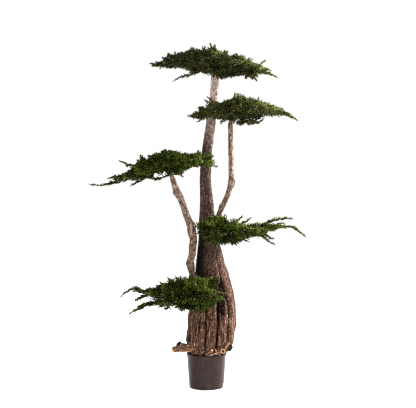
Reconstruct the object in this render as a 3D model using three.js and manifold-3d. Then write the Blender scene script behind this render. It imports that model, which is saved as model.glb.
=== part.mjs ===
// A juniper bonsai, 1.8 m tall, standing in a plain round nursery pot.
// The fluted trunk rises out of the pot's filling, two boughs leave it, and five flat pads of
// foliage grow from the trunk's tip, from the tips of the boughs and from the trunk's front.
// Millimetres, +Z up, +X to the right and -Y towards the viewer. The origin is the middle of
// the pot's flat underside.
import * as THREE from "three";
import { mergeVertices } from "three/addons/utils/BufferGeometryUtils.js";
import Module from "manifold-3d";

const wasm = await Module();
wasm.setup();

// The pot and its filling.
const POT_HEIGHT = 178;
const RIM_RADIUS = 105;
const RIM_BAND = 11;
const RIM_PROUD = 1.8;
const FOOT_RADIUS = 85;
const FOOT_BEVEL = 6;
const POT_WALL = 2.6;
const POT_FLOOR = 4;
const POT_SIDES = 32;
const FILLING_TOP = 158;
const CLEARANCE = 0.3;

// The trunk: where its middle lies and how wide it is, level by level.
const TRUNK_LEVELS = [
  { z: FILLING_TOP + CLEARANCE, x: 2, y: 0, radius: 85 },
  { z: 178, x: 4, y: 0, radius: 90 },
  { z: 205, x: 17, y: 0, radius: 112 },
  { z: 240, x: 19, y: 0, radius: 127 },
  { z: 330, x: 27, y: 2, radius: 128 },
  { z: 414, x: 32, y: 3, radius: 124 },
  { z: 498, x: 31, y: 4, radius: 111 },
  { z: 582, x: 26, y: 4, radius: 94 },
  { z: 666, x: 18, y: 5, radius: 74 },
  { z: 750, x: 12, y: 6, radius: 58 },
  { z: 918, x: 2, y: 8, radius: 39 },
  { z: 1086, x: -8, y: 8, radius: 29 },
  { z: 1230, x: 1, y: 6, radius: 27 },
  { z: 1380, x: 22, y: 3, radius: 25 },
  { z: 1548, x: 42, y: 0, radius: 21 },
  { z: 1640, x: 46, y: 0, radius: 16 },
];
// Deep grooves part the trunk's foot into columns. Degrees from +X, seen from above; 270 faces front.
const GROOVE_ANGLES = [25, 60, 95, 132, 170, 208, 240, 254, 286, 315, 350];
const COLUMN_CRESTS = [0.28, 0.72];
const GROOVE_DEPTH = 0.17;
const GROOVE_FULL = 400;
const GROOVE_TOP = 700;

// Surface roots that run out over the rim and were sawn off, each with one or two limbs.
const ROOTS = {
  left_root: [
    { path: [[-40, -52, 230], [-110, -70, 216], [-150, -74, 210], [-182, -74, 206]], radii: [34, 18] },
    { path: [[-100, -74, 216], [-132, -82, 228], [-150, -86, 246]], radii: [17, 13] },
  ],
  right_root: [{ path: [[70, -62, 262], [112, -82, 226], [132, -90, 203]], radii: [26, 15] }],
  front_root_left: [{ path: [[18, -60, 228], [27, -112, 211], [29, -132, 205]], radii: [18, 10] }],
  front_root_right: [{ path: [[64, -60, 226], [76, -104, 209], [83, -126, 204]], radii: [17, 11] }],
  front_root_low: [{ path: [[42, -70, 205], [51, -108, 195], [56, -128, 192]], radii: [10, 7] }],
};
const ROOT_SIDES = 8;
const ROOT_STEPS = 5;

// The boughs: path from inside the trunk to the tip, radius at both ends, and swollen knots.
const BOUGHS = {
  left_bough: {
    path: [
      [-14, -48, 520], [-66, -66, 588], [-84, -60, 655], [-76, -54, 705], [-71, -52, 771],
      [-86, -54, 845], [-109, -57, 918], [-150, -63, 1023], [-175, -66, 1086],
    ],
    radii: [22, 12.5],
    knots: [{ at: 0.57, swell: 4.5 }, { at: 0.88, swell: 5 }],
  },
  right_bough: {
    path: [
      [14, -4, 800], [44, -14, 868], [76, -22, 939], [114, -29, 1023], [129, -33, 1066],
      [129, -36, 1110], [126, -38, 1254], [125, -40, 1380],
    ],
    radii: [15, 11.5],
    knots: [{ at: 0.48, swell: 4 }],
  },
};
const KNOT_LENGTH = 0.05;
const BOUGH_SIDES = 9;
const BOUGH_STEPS = 20;

// The pads. reach holds the half lengths of the dense part round its heart, dome and underside
// its heights there, and tilt how far its left and right ends lie over the heart. stem runs from
// inside the limb to the heart. tails are the tips of the long shoots of the ragged outline.
const PADS = {
  top_pad: {
    heart: [45, 0, 1692],
    stem: [46, 0, 1620],
    reach: { left: 300, right: 300, front: 200, back: 200 },
    dome: 84,
    underside: 46,
    tilt: { left: 6, right: -40 },
    seed: 11,
    tails: [
      [-294, -10, 1698], [370, -20, 1627], [302, 40, 1716], [260, -120, 1600], [-167, -110, 1604],
      [24, -20, 1800], [-60, 205, 1690], [170, 200, 1670], [90, -210, 1655],
    ],
  },
  upper_right_pad: {
    heart: [142, -46, 1444],
    stem: [125, -40, 1366],
    reach: { left: 225, right: 285, front: 180, back: 175 },
    dome: 76,
    underside: 48,
    tilt: { left: -10, right: -16 },
    seed: 23,
    tails: [
      [470, -60, 1396], [405, 10, 1450], [-96, -85, 1419], [138, -60, 1536], [3, -90, 1526],
      [226, -150, 1375], [130, -232, 1420], [240, 128, 1425], [60, 122, 1430],
    ],
  },
  middle_left_pad: {
    heart: [-195, -78, 1165],
    stem: [-172, -65, 1074],
    reach: { left: 300, right: 215, front: 180, back: 165 },
    dome: 88,
    underside: 50,
    tilt: { left: -62, right: 12 },
    seed: 37,
    tails: [
      [-606, -80, 1058], [-513, -110, 1094], [-456, -50, 1187], [-379, -150, 1058], [59, -92, 1156],
      [-130, -70, 1262], [-240, -255, 1120], [-290, 95, 1120], [-90, 92, 1165],
    ],
  },
  lower_right_pad: {
    heart: [100, -118, 835],
    stem: [36, -18, 802],
    reach: { left: 140, right: 210, front: 135, back: 150 },
    dome: 72,
    underside: 76,
    tilt: { left: 0, right: -4 },
    seed: 41,
    tails: [
      [510, -110, 791], [443, -90, 883], [346, -130, 750], [223, -170, 766], [186, -90, 902],
      [300, -30, 840], [-48, -130, 850], [60, -262, 800], [210, 40, 850],
    ],
  },
  lower_left_pad: {
    heart: [-70, -165, 505],
    stem: [-18, -66, 498],
    reach: { left: 230, right: 165, front: 150, back: 130 },
    dome: 80,
    underside: 78,
    tilt: { left: -12, right: 0 },
    seed: 53,
    tails: [
      [-440, -140, 482], [-394, -160, 393], [-365, -110, 404], [-330, -200, 470], [105, -175, 500],
      [-150, -130, 592], [-40, -325, 440], [-190, 10, 520], [-300, -60, 510],
    ],
  },
};
// How a pad grows. Its stem carries a lumpy core, a share of the pad's size. Leaders arch from the
// heart to the tips of the tails and to a few tips between, with sprays to both sides of them, and
// more sprays stand out of the core above and below. Lengths are in millimetres, turns in radians,
// and the other values are shares.
const STEM_RADII = [10, 8];
const CORE = { share: 0.6, detail: 1, lump: 0.1, lumps: 4 };
const LEADERS = { between: 3, radii: [6.5, 2], steps: 3, bendAt: 0.55, arch: 0.11, shortest: 0.84, bob: 24 };
const SPRAY = { length: 120, width: 50, thickness: 14 };
const SIDE_SPRAYS = { perLeader: 4, from: 0.48, spread: 0.55, tipSize: 0.4, lift: 0.1, sunk: 0.08 };
const CROWN_SPRAYS = {
  above: 25,
  below: 6,
  rootedAt: 0.92,
  sizes: [0.8, 1.25],
  steepness: [0.5, 0.1],
  sway: 1,
  sunk: 0.2,
};
const GOLDEN_ANGLE = Math.PI * (3 - Math.sqrt(5));
const LIMB_MARGIN = 6;
const LIMB_SAMPLES = 80;
const UP = new THREE.Vector3(0, 0, 1);

const FINISH = {
  pot: new THREE.MeshStandardMaterial({ color: 0x463b38, roughness: 0.5, metalness: 0 }),
  filling: new THREE.MeshStandardMaterial({ color: 0x3b2c22, roughness: 0.95, metalness: 0 }),
  trunk: new THREE.MeshStandardMaterial({ color: 0x6c5145, roughness: 0.92, metalness: 0 }),
  bough: new THREE.MeshStandardMaterial({ color: 0x8f7765, roughness: 0.9, metalness: 0 }),
  foliage: new THREE.MeshStandardMaterial({ color: 0x2c3318, roughness: 0.7, metalness: 0 }),
};

const point = ([x, y, z]) => new THREE.Vector3(x, y, z);
const curveThrough = (path) => new THREE.CatmullRomCurve3(path.map(point));
const mix = THREE.MathUtils.lerp;

// A repeatable stream of numbers from 0 to 1 (the mulberry32 generator).
function seeded(seed) {
  let state = seed;
  return () => {
    state = (state + 0x6d2b79f5) | 0;
    let t = Math.imul(state ^ (state >>> 15), 1 | state);
    t = (t + Math.imul(t ^ (t >>> 7), 61 | t)) ^ t;
    return ((t ^ (t >>> 14)) >>> 0) / 4294967296;
  };
}

// A closed three.js geometry as a solid that can be joined and cut.
function toSolid(geometry) {
  const bare = new THREE.BufferGeometry();
  bare.setAttribute("position", geometry.getAttribute("position"));
  bare.setIndex(geometry.index);
  const merged = mergeVertices(bare, 1e-3);
  return new wasm.Manifold(
    new wasm.Mesh({
      numProp: 3,
      vertProperties: new Float32Array(merged.attributes.position.array),
      triVerts: new Uint32Array(merged.index.array),
    }),
  );
}

// A joined or cut solid as a three.js geometry.
function toGeometry(solid) {
  const mesh = solid.getMesh();
  const geometry = new THREE.BufferGeometry();
  geometry.setAttribute("position", new THREE.BufferAttribute(mesh.vertProperties, 3));
  geometry.setIndex(new THREE.BufferAttribute(mesh.triVerts, 1));
  geometry.computeVertexNormals();
  return geometry;
}

// The main body of a solid: loose scraps are dropped and sealed hollows filled.
function mainBody(solid) {
  return solid.decompose().reduce((best, body) => (body.volume() > best.volume() ? body : best));
}

// A cylinder whose rings are moved one by one: place(step, column) gives a point of a ring, and
// the ring's middle where column is null.
function bentCylinder(sides, steps, place) {
  const geometry = new THREE.CylinderGeometry(1, 1, 1, sides, steps);
  const position = geometry.getAttribute("position");
  const spot = new THREE.Vector3();
  for (let i = 0; i < position.count; i++) {
    spot.fromBufferAttribute(position, i);
    const step = Math.round((spot.y + 0.5) * steps);
    const turn = Math.round((Math.atan2(spot.x, spot.z) / (2 * Math.PI)) * sides);
    const onAxis = Math.hypot(spot.x, spot.z) < 0.5;
    const placed = place(step, onAxis ? null : (turn + sides) % sides);
    position.setXYZ(i, placed.x, placed.y, placed.z);
  }
  return geometry;
}

// A limb of round section along a curve. radiusAt gives its radius by the share along it, and
// grow makes it that much larger all round.
function limb(curve, radiusAt, sides, steps, grow = 0) {
  const frames = curve.computeFrenetFrames(steps, false);
  return bentCylinder(sides, steps, (step, column) => {
    const share = step / steps;
    const placed = curve.getPointAt(share);
    const overrun = step === 0 ? -grow : step === steps ? grow : 0;
    placed.addScaledVector(frames.tangents[step], overrun);
    if (column === null) return placed;
    const angle = (2 * Math.PI * column) / sides;
    const radius = radiusAt(share) + grow;
    placed.addScaledVector(frames.normals[step], Math.cos(angle) * radius);
    return placed.addScaledVector(frames.binormals[step], Math.sin(angle) * radius);
  });
}

// A profile of radius and height, turned round the Z axis.
function lathed(profile) {
  const points = profile.map(([radius, z]) => new THREE.Vector2(radius, z));
  return new THREE.LatheGeometry(points, POT_SIDES).rotateX(Math.PI / 2);
}

// The pot: a thin leaning wall with a rim band, a bevelled foot and a floor.
const potRadius = (z) => mix(FOOT_RADIUS + FOOT_BEVEL / 2, RIM_RADIUS - RIM_PROUD, z / POT_HEIGHT);

function pot() {
  const band = POT_HEIGHT - RIM_BAND;
  return lathed([
    [0, 0],
    [FOOT_RADIUS, 0],
    [potRadius(FOOT_BEVEL), FOOT_BEVEL],
    [potRadius(band), band],
    [RIM_RADIUS, band + RIM_PROUD],
    [RIM_RADIUS, POT_HEIGHT],
    [potRadius(POT_HEIGHT) - POT_WALL, POT_HEIGHT],
    [potRadius(POT_FLOOR) - POT_WALL, POT_FLOOR],
    [0, POT_FLOOR],
  ]);
}

// The filling that holds the trunk lies in the pot with a hair's clearance.
function filling() {
  const inner = (z) => potRadius(z) - POT_WALL - CLEARANCE;
  const bottom = POT_FLOOR + CLEARANCE;
  return lathed([
    [0, bottom],
    [inner(bottom), bottom],
    [inner(FILLING_TOP), FILLING_TOP],
    [0, FILLING_TOP],
  ]);
}

// The share of the radius that a groove takes at a height: most at the foot, none up the trunk.
function grooveShare(z) {
  const fade = THREE.MathUtils.smoothstep(GROOVE_TOP - z, 0, GROOVE_TOP - GROOVE_FULL);
  return GROOVE_DEPTH * fade;
}

// The trunk: one point in each groove and two on each column's crest, ring by ring.
function trunk(grow = 0) {
  const columns = GROOVE_ANGLES.flatMap((angle, i) => {
    const next = GROOVE_ANGLES[i + 1] ?? GROOVE_ANGLES[0] + 360;
    const crests = COLUMN_CRESTS.map((share) => ({ angle: mix(angle, next, share), inGroove: false }));
    return [{ angle, inGroove: true }, ...crests];
  });
  const steps = TRUNK_LEVELS.length - 1;
  return bentCylinder(columns.length, steps, (step, column) => {
    const level = TRUNK_LEVELS[step];
    const overrun = step === 0 ? -grow : step === steps ? grow : 0;
    const middle = new THREE.Vector3(level.x, level.y, level.z + overrun);
    if (column === null) return middle;
    const { angle, inGroove } = columns[column];
    const radius = level.radius * (inGroove ? 1 - grooveShare(level.z) : 1) + grow;
    const turn = THREE.MathUtils.degToRad(angle);
    return middle.add(new THREE.Vector3(Math.cos(turn) * radius, Math.sin(turn) * radius, 0));
  });
}

// A bough tapers evenly from its foot to its tip, with a swelling at each knot.
function boughRadius({ radii, knots }) {
  return (share) => {
    const swell = knots.map(({ at, swell }) => swell * Math.exp(-(((share - at) / KNOT_LENGTH) ** 2)));
    return swell.reduce((sum, part) => sum + part, mix(radii[0], radii[1], share));
  };
}

function bough(shape, grow = 0) {
  return limb(curveThrough(shape.path), boughRadius(shape), BOUGH_SIDES, BOUGH_STEPS, grow);
}

// A surface root: its limbs joined, cut clear of the trunk.
function root(limbs) {
  const solids = limbs.map(({ path, radii }) =>
    toSolid(limb(curveThrough(path), (share) => mix(radii[0], radii[1], share), ROOT_SIDES, ROOT_STEPS)),
  );
  return wasm.Manifold.union(solids);
}

// The distance from a spot to the surface of the nearest limb, near enough to keep shoots clear.
const boughSpots = Object.values(BOUGHS).flatMap((shape) => {
  const radiusAt = boughRadius(shape);
  return curveThrough(shape.path)
    .getSpacedPoints(LIMB_SAMPLES)
    .map((middle, i) => ({ middle, radius: radiusAt(i / LIMB_SAMPLES) }));
});

function trunkAt(z) {
  const upper = TRUNK_LEVELS.findIndex((level) => level.z >= z);
  const index = upper < 0 ? TRUNK_LEVELS.length - 1 : Math.max(1, upper);
  const [low, high] = [TRUNK_LEVELS[index - 1], TRUNK_LEVELS[index]];
  const share = THREE.MathUtils.clamp((z - low.z) / (high.z - low.z), 0, 1);
  const middle = new THREE.Vector3().copy(low).lerp(high, share);
  return { middle, radius: mix(low.radius, high.radius, share) };
}

function distanceToLimbs(spot) {
  const spots = [trunkAt(spot.z), ...boughSpots];
  return Math.min(...spots.map(({ middle, radius }) => spot.distanceTo(middle) - radius));
}

// How far a pad reaches in a direction seen from above: four quarter ellipses.
function reachAt({ reach }, angle) {
  const along = Math.cos(angle) / (Math.cos(angle) < 0 ? reach.left : reach.right);
  const across = Math.sin(angle) / (Math.sin(angle) < 0 ? reach.front : reach.back);
  return 1 / Math.hypot(along, across);
}

// How far the pad's middle layer lies over its heart, by the distance to the right of it.
function tiltAt({ reach, tilt }, right) {
  return right < 0 ? (tilt.left * -right) / reach.left : (tilt.right * right) / reach.right;
}

// The pad's core: a lumpy lens, smaller than the pad, that the sprays stand out of.
function core(pad) {
  const geometry = new THREE.IcosahedronGeometry(1, CORE.detail);
  const position = geometry.getAttribute("position");
  const spot = new THREE.Vector3();
  for (let i = 0; i < position.count; i++) {
    spot.fromBufferAttribute(position, i);
    const angle = Math.atan2(spot.y, spot.x);
    const lump = 1 + CORE.lump * Math.sin(CORE.lumps * angle + pad.seed) * Math.cos(CORE.lumps * spot.z);
    const out = Math.hypot(spot.x, spot.y) * reachAt(pad, angle) * CORE.share * lump;
    const right = out * Math.cos(angle);
    const rise = spot.z * (spot.z > 0 ? pad.dome : pad.underside) * CORE.share * lump;
    spot.set(right, out * Math.sin(angle), rise + tiltAt(pad, right)).add(point(pad.heart));
    position.setXYZ(i, spot.x, spot.y, spot.z);
  }
  return geometry;
}

// The tips of the ordinary leaders: spread evenly round the pad, a little short and high or low
// by chance.
function leaderTips(pad, random) {
  return Array.from({ length: LEADERS.between }, (_, i) => {
    const angle = (2 * Math.PI * (i + random() - 0.5)) / LEADERS.between;
    const out = reachAt(pad, angle) * mix(LEADERS.shortest, 1, random());
    const right = out * Math.cos(angle);
    const rise = tiltAt(pad, right) + LEADERS.bob * (random() - 0.5);
    return new THREE.Vector3(right, out * Math.sin(angle), rise).add(point(pad.heart));
  });
}

// A leader arches from the heart out to its tip.
function leaderCurve(pad, tip) {
  const heart = point(pad.heart);
  const arch = LEADERS.arch * heart.distanceTo(tip);
  const bend = heart.clone().lerp(tip, LEADERS.bendAt).addScaledVector(UP, arch);
  return new THREE.QuadraticBezierCurve3(heart, bend, tip);
}

// A spray of needles: a flat eight-faced blade that runs from its root along a direction, with a
// share of its length sunk behind the root.
function spray(rootSpot, direction, size, sunk) {
  const length = SPRAY.length * size;
  const side = UP.clone().cross(direction).normalize();
  const normal = direction.clone().cross(side);
  const middle = rootSpot.clone().addScaledVector(direction, length * (0.5 - sunk));
  const tip = rootSpot.clone().addScaledVector(direction, length * (1 - sunk));
  const geometry = new THREE.OctahedronGeometry(0.5);
  geometry.scale(length, SPRAY.width * size, SPRAY.thickness * size);
  geometry.applyMatrix4(new THREE.Matrix4().makeBasis(direction, side, normal).setPosition(middle));
  return { geometry, middle, tip };
}

// The sprays on a leader stand out to its left and right by turns, smaller towards its tip, and
// the last one lies along the leader's end.
function sideSprays(curve) {
  const { perLeader, from, spread, tipSize, lift, sunk } = SIDE_SPRAYS;
  return Array.from({ length: perLeader }, (_, i) => {
    const share = mix(from, 1, i / (perLeader - 1));
    const size = mix(1, tipSize, share);
    const rootSpot = curve.getPointAt(share);
    const direction = curve.getTangentAt(share);
    if (i === perLeader - 1) {
      rootSpot.addScaledVector(direction, -SPRAY.length * size * (1 - sunk));
      return spray(rootSpot, direction, size, sunk);
    }
    direction.applyAxisAngle(UP, i % 2 ? spread : -spread).addScaledVector(UP, lift).normalize();
    return spray(rootSpot, direction, size, sunk);
  });
}

// The sprays that stand out of the core, on a sunflower's spiral so that they lie evenly. sign is
// 1 above the core and -1 below it.
function crownSprays(pad, count, sign, random) {
  const { rootedAt, sizes, steepness, sway, sunk } = CROWN_SPRAYS;
  return Array.from({ length: count }, (_, i) => {
    const share = Math.sqrt((i + 0.5) / count);
    const angle = i * GOLDEN_ANGLE + pad.seed;
    const out = reachAt(pad, angle) * CORE.share * rootedAt * share;
    const right = out * Math.cos(angle);
    const height = (sign > 0 ? pad.dome : -pad.underside) * CORE.share * Math.sqrt(1 - share ** 2);
    const rise = height * rootedAt + tiltAt(pad, right);
    const rootSpot = new THREE.Vector3(right, out * Math.sin(angle), rise).add(point(pad.heart));
    const heading = angle + sway * (random() - 0.5);
    const direction = new THREE.Vector3(Math.cos(heading), Math.sin(heading), 0);
    direction.addScaledVector(UP, sign * mix(steepness[0], steepness[1], share)).normalize();
    return spray(rootSpot, direction, mix(sizes[0], sizes[1], random()), sunk);
  });
}

// A pad keeps to the box round its tails: a shoot that would leave it, or touch a limb, is skipped.
function spaceOf(pad) {
  const box = new THREE.Box3().setFromPoints([...pad.tails.map(point), point(pad.heart)]);
  return box.expandByScalar(CLEARANCE);
}

function growPad(pad, grownLimbs) {
  const random = seeded(pad.seed);
  const space = spaceOf(pad);
  const isFree = (spots) =>
    spots.every((spot) => space.containsPoint(spot) && distanceToLimbs(spot) > LIMB_MARGIN);
  const stemCurve = new THREE.LineCurve3(point(pad.stem), point(pad.heart));
  const stemRadius = (share) => mix(STEM_RADII[0], STEM_RADII[1], share);
  const leaderRadius = (share) => mix(LEADERS.radii[0], LEADERS.radii[1], share);
  const leaders = [...pad.tails.map(point), ...leaderTips(pad, random)]
    .map((tip) => leaderCurve(pad, tip))
    .filter((curve) => isFree(curve.getSpacedPoints(LEADERS.steps * 2)));
  const sprays = [
    ...leaders.flatMap(sideSprays),
    ...crownSprays(pad, CROWN_SPRAYS.above, 1, random),
    ...crownSprays(pad, CROWN_SPRAYS.below, -1, random),
  ].filter(({ tip, middle }) => isFree([tip, middle]));
  const pieces = [
    core(pad),
    limb(stemCurve, stemRadius, ROOT_SIDES, 1),
    ...leaders.map((curve) => limb(curve, leaderRadius, 3, LEADERS.steps)),
    ...sprays.map(({ geometry }) => geometry),
  ];
  return mainBody(wasm.Manifold.union(pieces.map(toSolid)).subtract(grownLimbs));
}

// The whole plant. Limbs are cut clear of the trunk, and pads clear of the trunk and the boughs.
const bonsai = new THREE.Group();

function addNode(name, geometry, finish) {
  const mesh = new THREE.Mesh(geometry, finish);
  mesh.name = name;
  bonsai.add(mesh);
}

const grownTrunk = toSolid(trunk(CLEARANCE));
const grownLimbs = wasm.Manifold.union([
  grownTrunk,
  ...Object.values(BOUGHS).map((shape) => toSolid(bough(shape, CLEARANCE))),
]);

addNode("pot", pot(), FINISH.pot);
addNode("filling", filling(), FINISH.filling);
addNode("trunk", trunk(), FINISH.trunk);
for (const [name, limbs] of Object.entries(ROOTS)) {
  addNode(name, toGeometry(mainBody(root(limbs).subtract(grownTrunk))), FINISH.trunk);
}
for (const [name, shape] of Object.entries(BOUGHS)) {
  addNode(name, toGeometry(mainBody(toSolid(bough(shape)).subtract(grownTrunk))), FINISH.bough);
}
for (const [name, pad] of Object.entries(PADS)) {
  addNode(name, toGeometry(growPad(pad, grownLimbs)), FINISH.foliage);
}

export default bonsai;
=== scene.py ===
import bpy
import numpy as np
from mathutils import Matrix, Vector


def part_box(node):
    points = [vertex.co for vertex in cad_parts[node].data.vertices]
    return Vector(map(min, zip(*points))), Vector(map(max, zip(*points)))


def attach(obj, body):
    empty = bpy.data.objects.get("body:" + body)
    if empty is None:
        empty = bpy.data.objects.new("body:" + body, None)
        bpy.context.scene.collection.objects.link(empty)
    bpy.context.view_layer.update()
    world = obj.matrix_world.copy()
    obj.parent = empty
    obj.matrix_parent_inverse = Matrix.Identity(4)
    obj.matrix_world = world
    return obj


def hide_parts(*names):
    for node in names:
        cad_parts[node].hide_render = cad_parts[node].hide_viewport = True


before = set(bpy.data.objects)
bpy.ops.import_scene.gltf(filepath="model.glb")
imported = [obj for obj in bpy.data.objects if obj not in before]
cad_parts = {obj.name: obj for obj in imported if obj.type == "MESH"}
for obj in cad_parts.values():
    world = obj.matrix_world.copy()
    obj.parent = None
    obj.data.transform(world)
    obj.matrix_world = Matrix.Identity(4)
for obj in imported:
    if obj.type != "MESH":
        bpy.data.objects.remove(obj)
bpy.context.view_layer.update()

# Pot: a plain round nursery pot, moulded in one piece from dark brown-grey plastic. Its thin wall leans
# outwards to a slightly proud rim band, and just above the floor it steps in to a rounded foot.
POT_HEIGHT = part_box("pot")[1].z
RIM_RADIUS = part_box("pot")[1].x
RIM_PROUD = 0.0018
RIM_EDGE = 0.0015
LIP_EDGE = 0.001
BAND_HEIGHT = 0.011
BAND_STEP = 0.0012
BAND_STEP_OUT = (0.0006, 0.0003)
FOOT_RADIUS = 0.0905
FOOT_ROUND = 0.004
FOOT_STEP = 0.018
STEP_IN = 0.0014
STEP_HEIGHT = 0.001
WALL = 0.0026
WALL_ENDS = (0.004, 0.0015)
WALL_ROWS = 12
MOUTH_RADIUS = RIM_RADIUS - RIM_PROUD - WALL
INSIDE_BEND = (0.003, 0.14)
POT_FLOOR = 0.004
FLOOR_RISE = 0.002
UNDERSIDE_RING = 0.05
POLE_RADIUS = 0.004
POT_SIDES = 144


def srgb(red, green, blue):
    """A display colour of 0 to 255 as linear light: each share c becomes ((c + 0.055) / 1.055) ** 2.4."""
    shares = (np.array([red, green, blue]) / 255 + 0.055) / 1.055
    return (*(float(share) for share in shares**2.4), 1.0)


def join(material, value, socket):
    """Links an output to a socket, or sets any other value on it."""
    if isinstance(value, bpy.types.NodeSocket):
        material.node_tree.links.new(value, socket)
    else:
        socket.default_value = value


def add_node(material, kind, settings=None, **inputs):
    """Adds a shader node with its settings, and joins values to the inputs of these names."""
    node = material.node_tree.nodes.new("ShaderNode" + kind)
    for name, value in (settings or {}).items():
        setattr(node, name, value)
    for name, value in inputs.items():
        join(material, value, node.inputs[name.replace("_", " ")])
    return node


def add_noise(material, size, detail=4.0, roughness=0.55, stretch=(1, 1, 1), place=None):
    """A noise of features about size metres across, drawn out along each axis by stretch, at a place or else
    in the Object coordinates."""
    if place is None:
        place = add_node(material, "TexCoord").outputs["Object"]
    scale = tuple(1 / (size * share) for share in stretch)
    mapping = add_node(material, "Mapping", Vector=place, Scale=scale)
    return add_node(material, "TexNoise", Vector=mapping.outputs[0], Scale=1.0, Detail=detail,
                    Roughness=roughness).outputs[0]


def add_ramp(material, factor, *stops):
    """A colour ramp over a factor from stops, each a position with a display colour or with a linear grey."""
    ramp = add_node(material, "ValToRGB", Fac=factor)
    elements = ramp.color_ramp.elements
    while len(elements) < len(stops):
        elements.new(1.0)
    for element, (position, *colour) in zip(elements, stops):
        element.position = position
        element.color = srgb(*colour) if len(colour) == 3 else (*colour * 3, 1.0)
    return ramp.outputs["Color"]


def mix_colours(material, colour, *layers):
    """A colour with layers laid over it in turn. A layer is a factor, a colour and, if it isn't plain, how it
    is blended; a Mix node's input 0 is the factor, 6 the colour below and 7 the layer's own."""
    for factor, over, *how in layers:
        node = add_node(material, "Mix", {"data_type": "RGBA", "blend_type": (*how, "MIX")[0]})
        for value, number in ((factor, 0), (colour, 6), (over, 7)):
            join(material, value, node.inputs[number])
        colour = node.outputs[2]
    return colour


def new_material(name, specular):
    """A Principled material with nothing joined to it yet."""
    material = bpy.data.materials.new(name)
    material.use_nodes = True
    material.node_tree.nodes["Principled BSDF"].inputs["Specular IOR Level"].default_value = specular
    return material


def finish_material(material, colour, roughness, height, depth):
    """Joins a colour, a roughness and a bump of the given height and depth in metres to the shader."""
    shader = material.node_tree.nodes["Principled BSDF"]
    bump = add_node(material, "Bump", Height=height, Strength=1.0, Distance=depth)
    for name, value in (("Base Color", colour), ("Roughness", roughness), ("Normal", bump.outputs[0])):
        join(material, value, shader.inputs[name])


def with_ends(rings):
    """The values of each tube's rings in a row, then the middles of its first and of its last ring."""
    flat = rings.reshape(len(rings), -1, *rings.shape[3:])
    return np.concatenate([flat, rings[:, [0, -1]].mean(axis=2)], axis=1)


def closed_tubes(rings):
    """Points and faces of equal tubes through rings of points, an array (tube, row, column, axis): quads join
    neighbours to those a row further, and fans of triangles round the middles of the end rings close them."""
    count, rows, columns, _ = rings.shape
    around = np.arange(columns)
    after = np.roll(around, -1)
    foot = np.full(columns, rows * columns)
    last = (rows - 1) * columns
    row = np.arange(rows - 1)[:, None] * columns
    quads = np.stack([row + around, row + after, row + columns + after, row + columns + around], -1)
    fans = np.concatenate([np.stack([after, around, foot], -1),
                           np.stack([last + around, last + after, foot + 1], -1)])
    points = with_ends(rings)
    shift = (np.arange(count) * points.shape[1])[:, None, None]
    quads = (quads.reshape(-1, 4) + shift).reshape(-1, 4)
    return points.reshape(-1, 3), [quads, (fans + shift).reshape(-1, 3)]


def mesh_piece(name, points, face_sets, material, smooth=True, crease=None):
    """A mesh object at the origin from an array of points and arrays of triangles or quads; edges that bend
    by more than a crease in degrees are sharp."""
    corners = np.concatenate([faces.reshape(-1) for faces in face_sets])
    sizes = np.concatenate([np.full(len(faces), faces.shape[1]) for faces in face_sets])
    mesh = bpy.data.meshes.new(name)
    mesh.vertices.add(len(points))
    mesh.vertices.foreach_set("co", np.asarray(points, np.float32).reshape(-1))
    mesh.loops.add(len(corners))
    mesh.loops.foreach_set("vertex_index", corners.astype(np.int32))
    mesh.polygons.add(len(sizes))
    mesh.polygons.foreach_set("loop_start", (np.cumsum(sizes) - sizes).astype(np.int32))
    mesh.polygons.foreach_set("use_smooth", np.full(len(sizes), smooth))
    mesh.update(calc_edges=True)
    if crease:
        mesh.set_sharp_from_angle(angle=np.radians(crease))
    mesh.materials.append(material)
    piece = bpy.data.objects.new(name, mesh)
    bpy.context.scene.collection.objects.link(piece)
    return piece


def arc(middle, radius, start, end, steps=7):
    """Points middle + radius (cos a, sin a) for angles a in degrees from start to end."""
    angles = np.radians(np.linspace(start, end, steps))
    return np.array(middle) + radius * np.stack([np.cos(angles), np.sin(angles)], -1)


def right_round(count):
    """A number of even angles right round, from 0."""
    return np.linspace(0, 2 * np.pi, count, endpoint=False)


def polar(radius, angle, height):
    """Points (r cos a, r sin a, h)."""
    return np.stack(np.broadcast_arrays(radius * np.cos(angle), radius * np.sin(angle), height), -1)


def turned(profile, sides):
    """Rings of points round the Z axis, one through each (r, h) of a profile."""
    return polar(profile[:, :1], right_round(sides), profile[:, 1:])


def wall_radius(height):
    """The outside of the pot's wall: a straight line from the foot's radius to just under the rim's."""
    return FOOT_RADIUS + (RIM_RADIUS - RIM_PROUD - FOOT_RADIUS) * height / POT_HEIGHT


band_low = POT_HEIGHT - BAND_HEIGHT
wall_heights = np.linspace(FOOT_STEP + WALL_ENDS[0], band_low - WALL_ENDS[1], WALL_ROWS)
pot_profile = np.concatenate([
    [(POLE_RADIUS, 0.0), (UNDERSIDE_RING, 0.0)],
    arc((wall_radius(FOOT_ROUND) - STEP_IN - FOOT_ROUND, FOOT_ROUND), FOOT_ROUND, -90, 0),
    [(wall_radius(FOOT_STEP) - STEP_IN, FOOT_STEP)],
    [(wall_radius(FOOT_STEP) - STEP_IN / 2, FOOT_STEP + STEP_HEIGHT)],
    np.stack([wall_radius(wall_heights), wall_heights], -1),
    [(wall_radius(band_low) + BAND_STEP_OUT[0], band_low)],
    [(RIM_RADIUS - BAND_STEP_OUT[1], band_low + BAND_STEP)],
    arc((RIM_RADIUS - RIM_EDGE, POT_HEIGHT - RIM_EDGE), RIM_EDGE, 0, 90),
    arc((MOUTH_RADIUS + LIP_EDGE, POT_HEIGHT - LIP_EDGE), LIP_EDGE, 90, 180),
    [(MOUTH_RADIUS - INSIDE_BEND[0], INSIDE_BEND[1])],
    [(FOOT_RADIUS - WALL, POT_FLOOR + FLOOR_RISE), (POLE_RADIUS, POT_FLOOR)],
])

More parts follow.
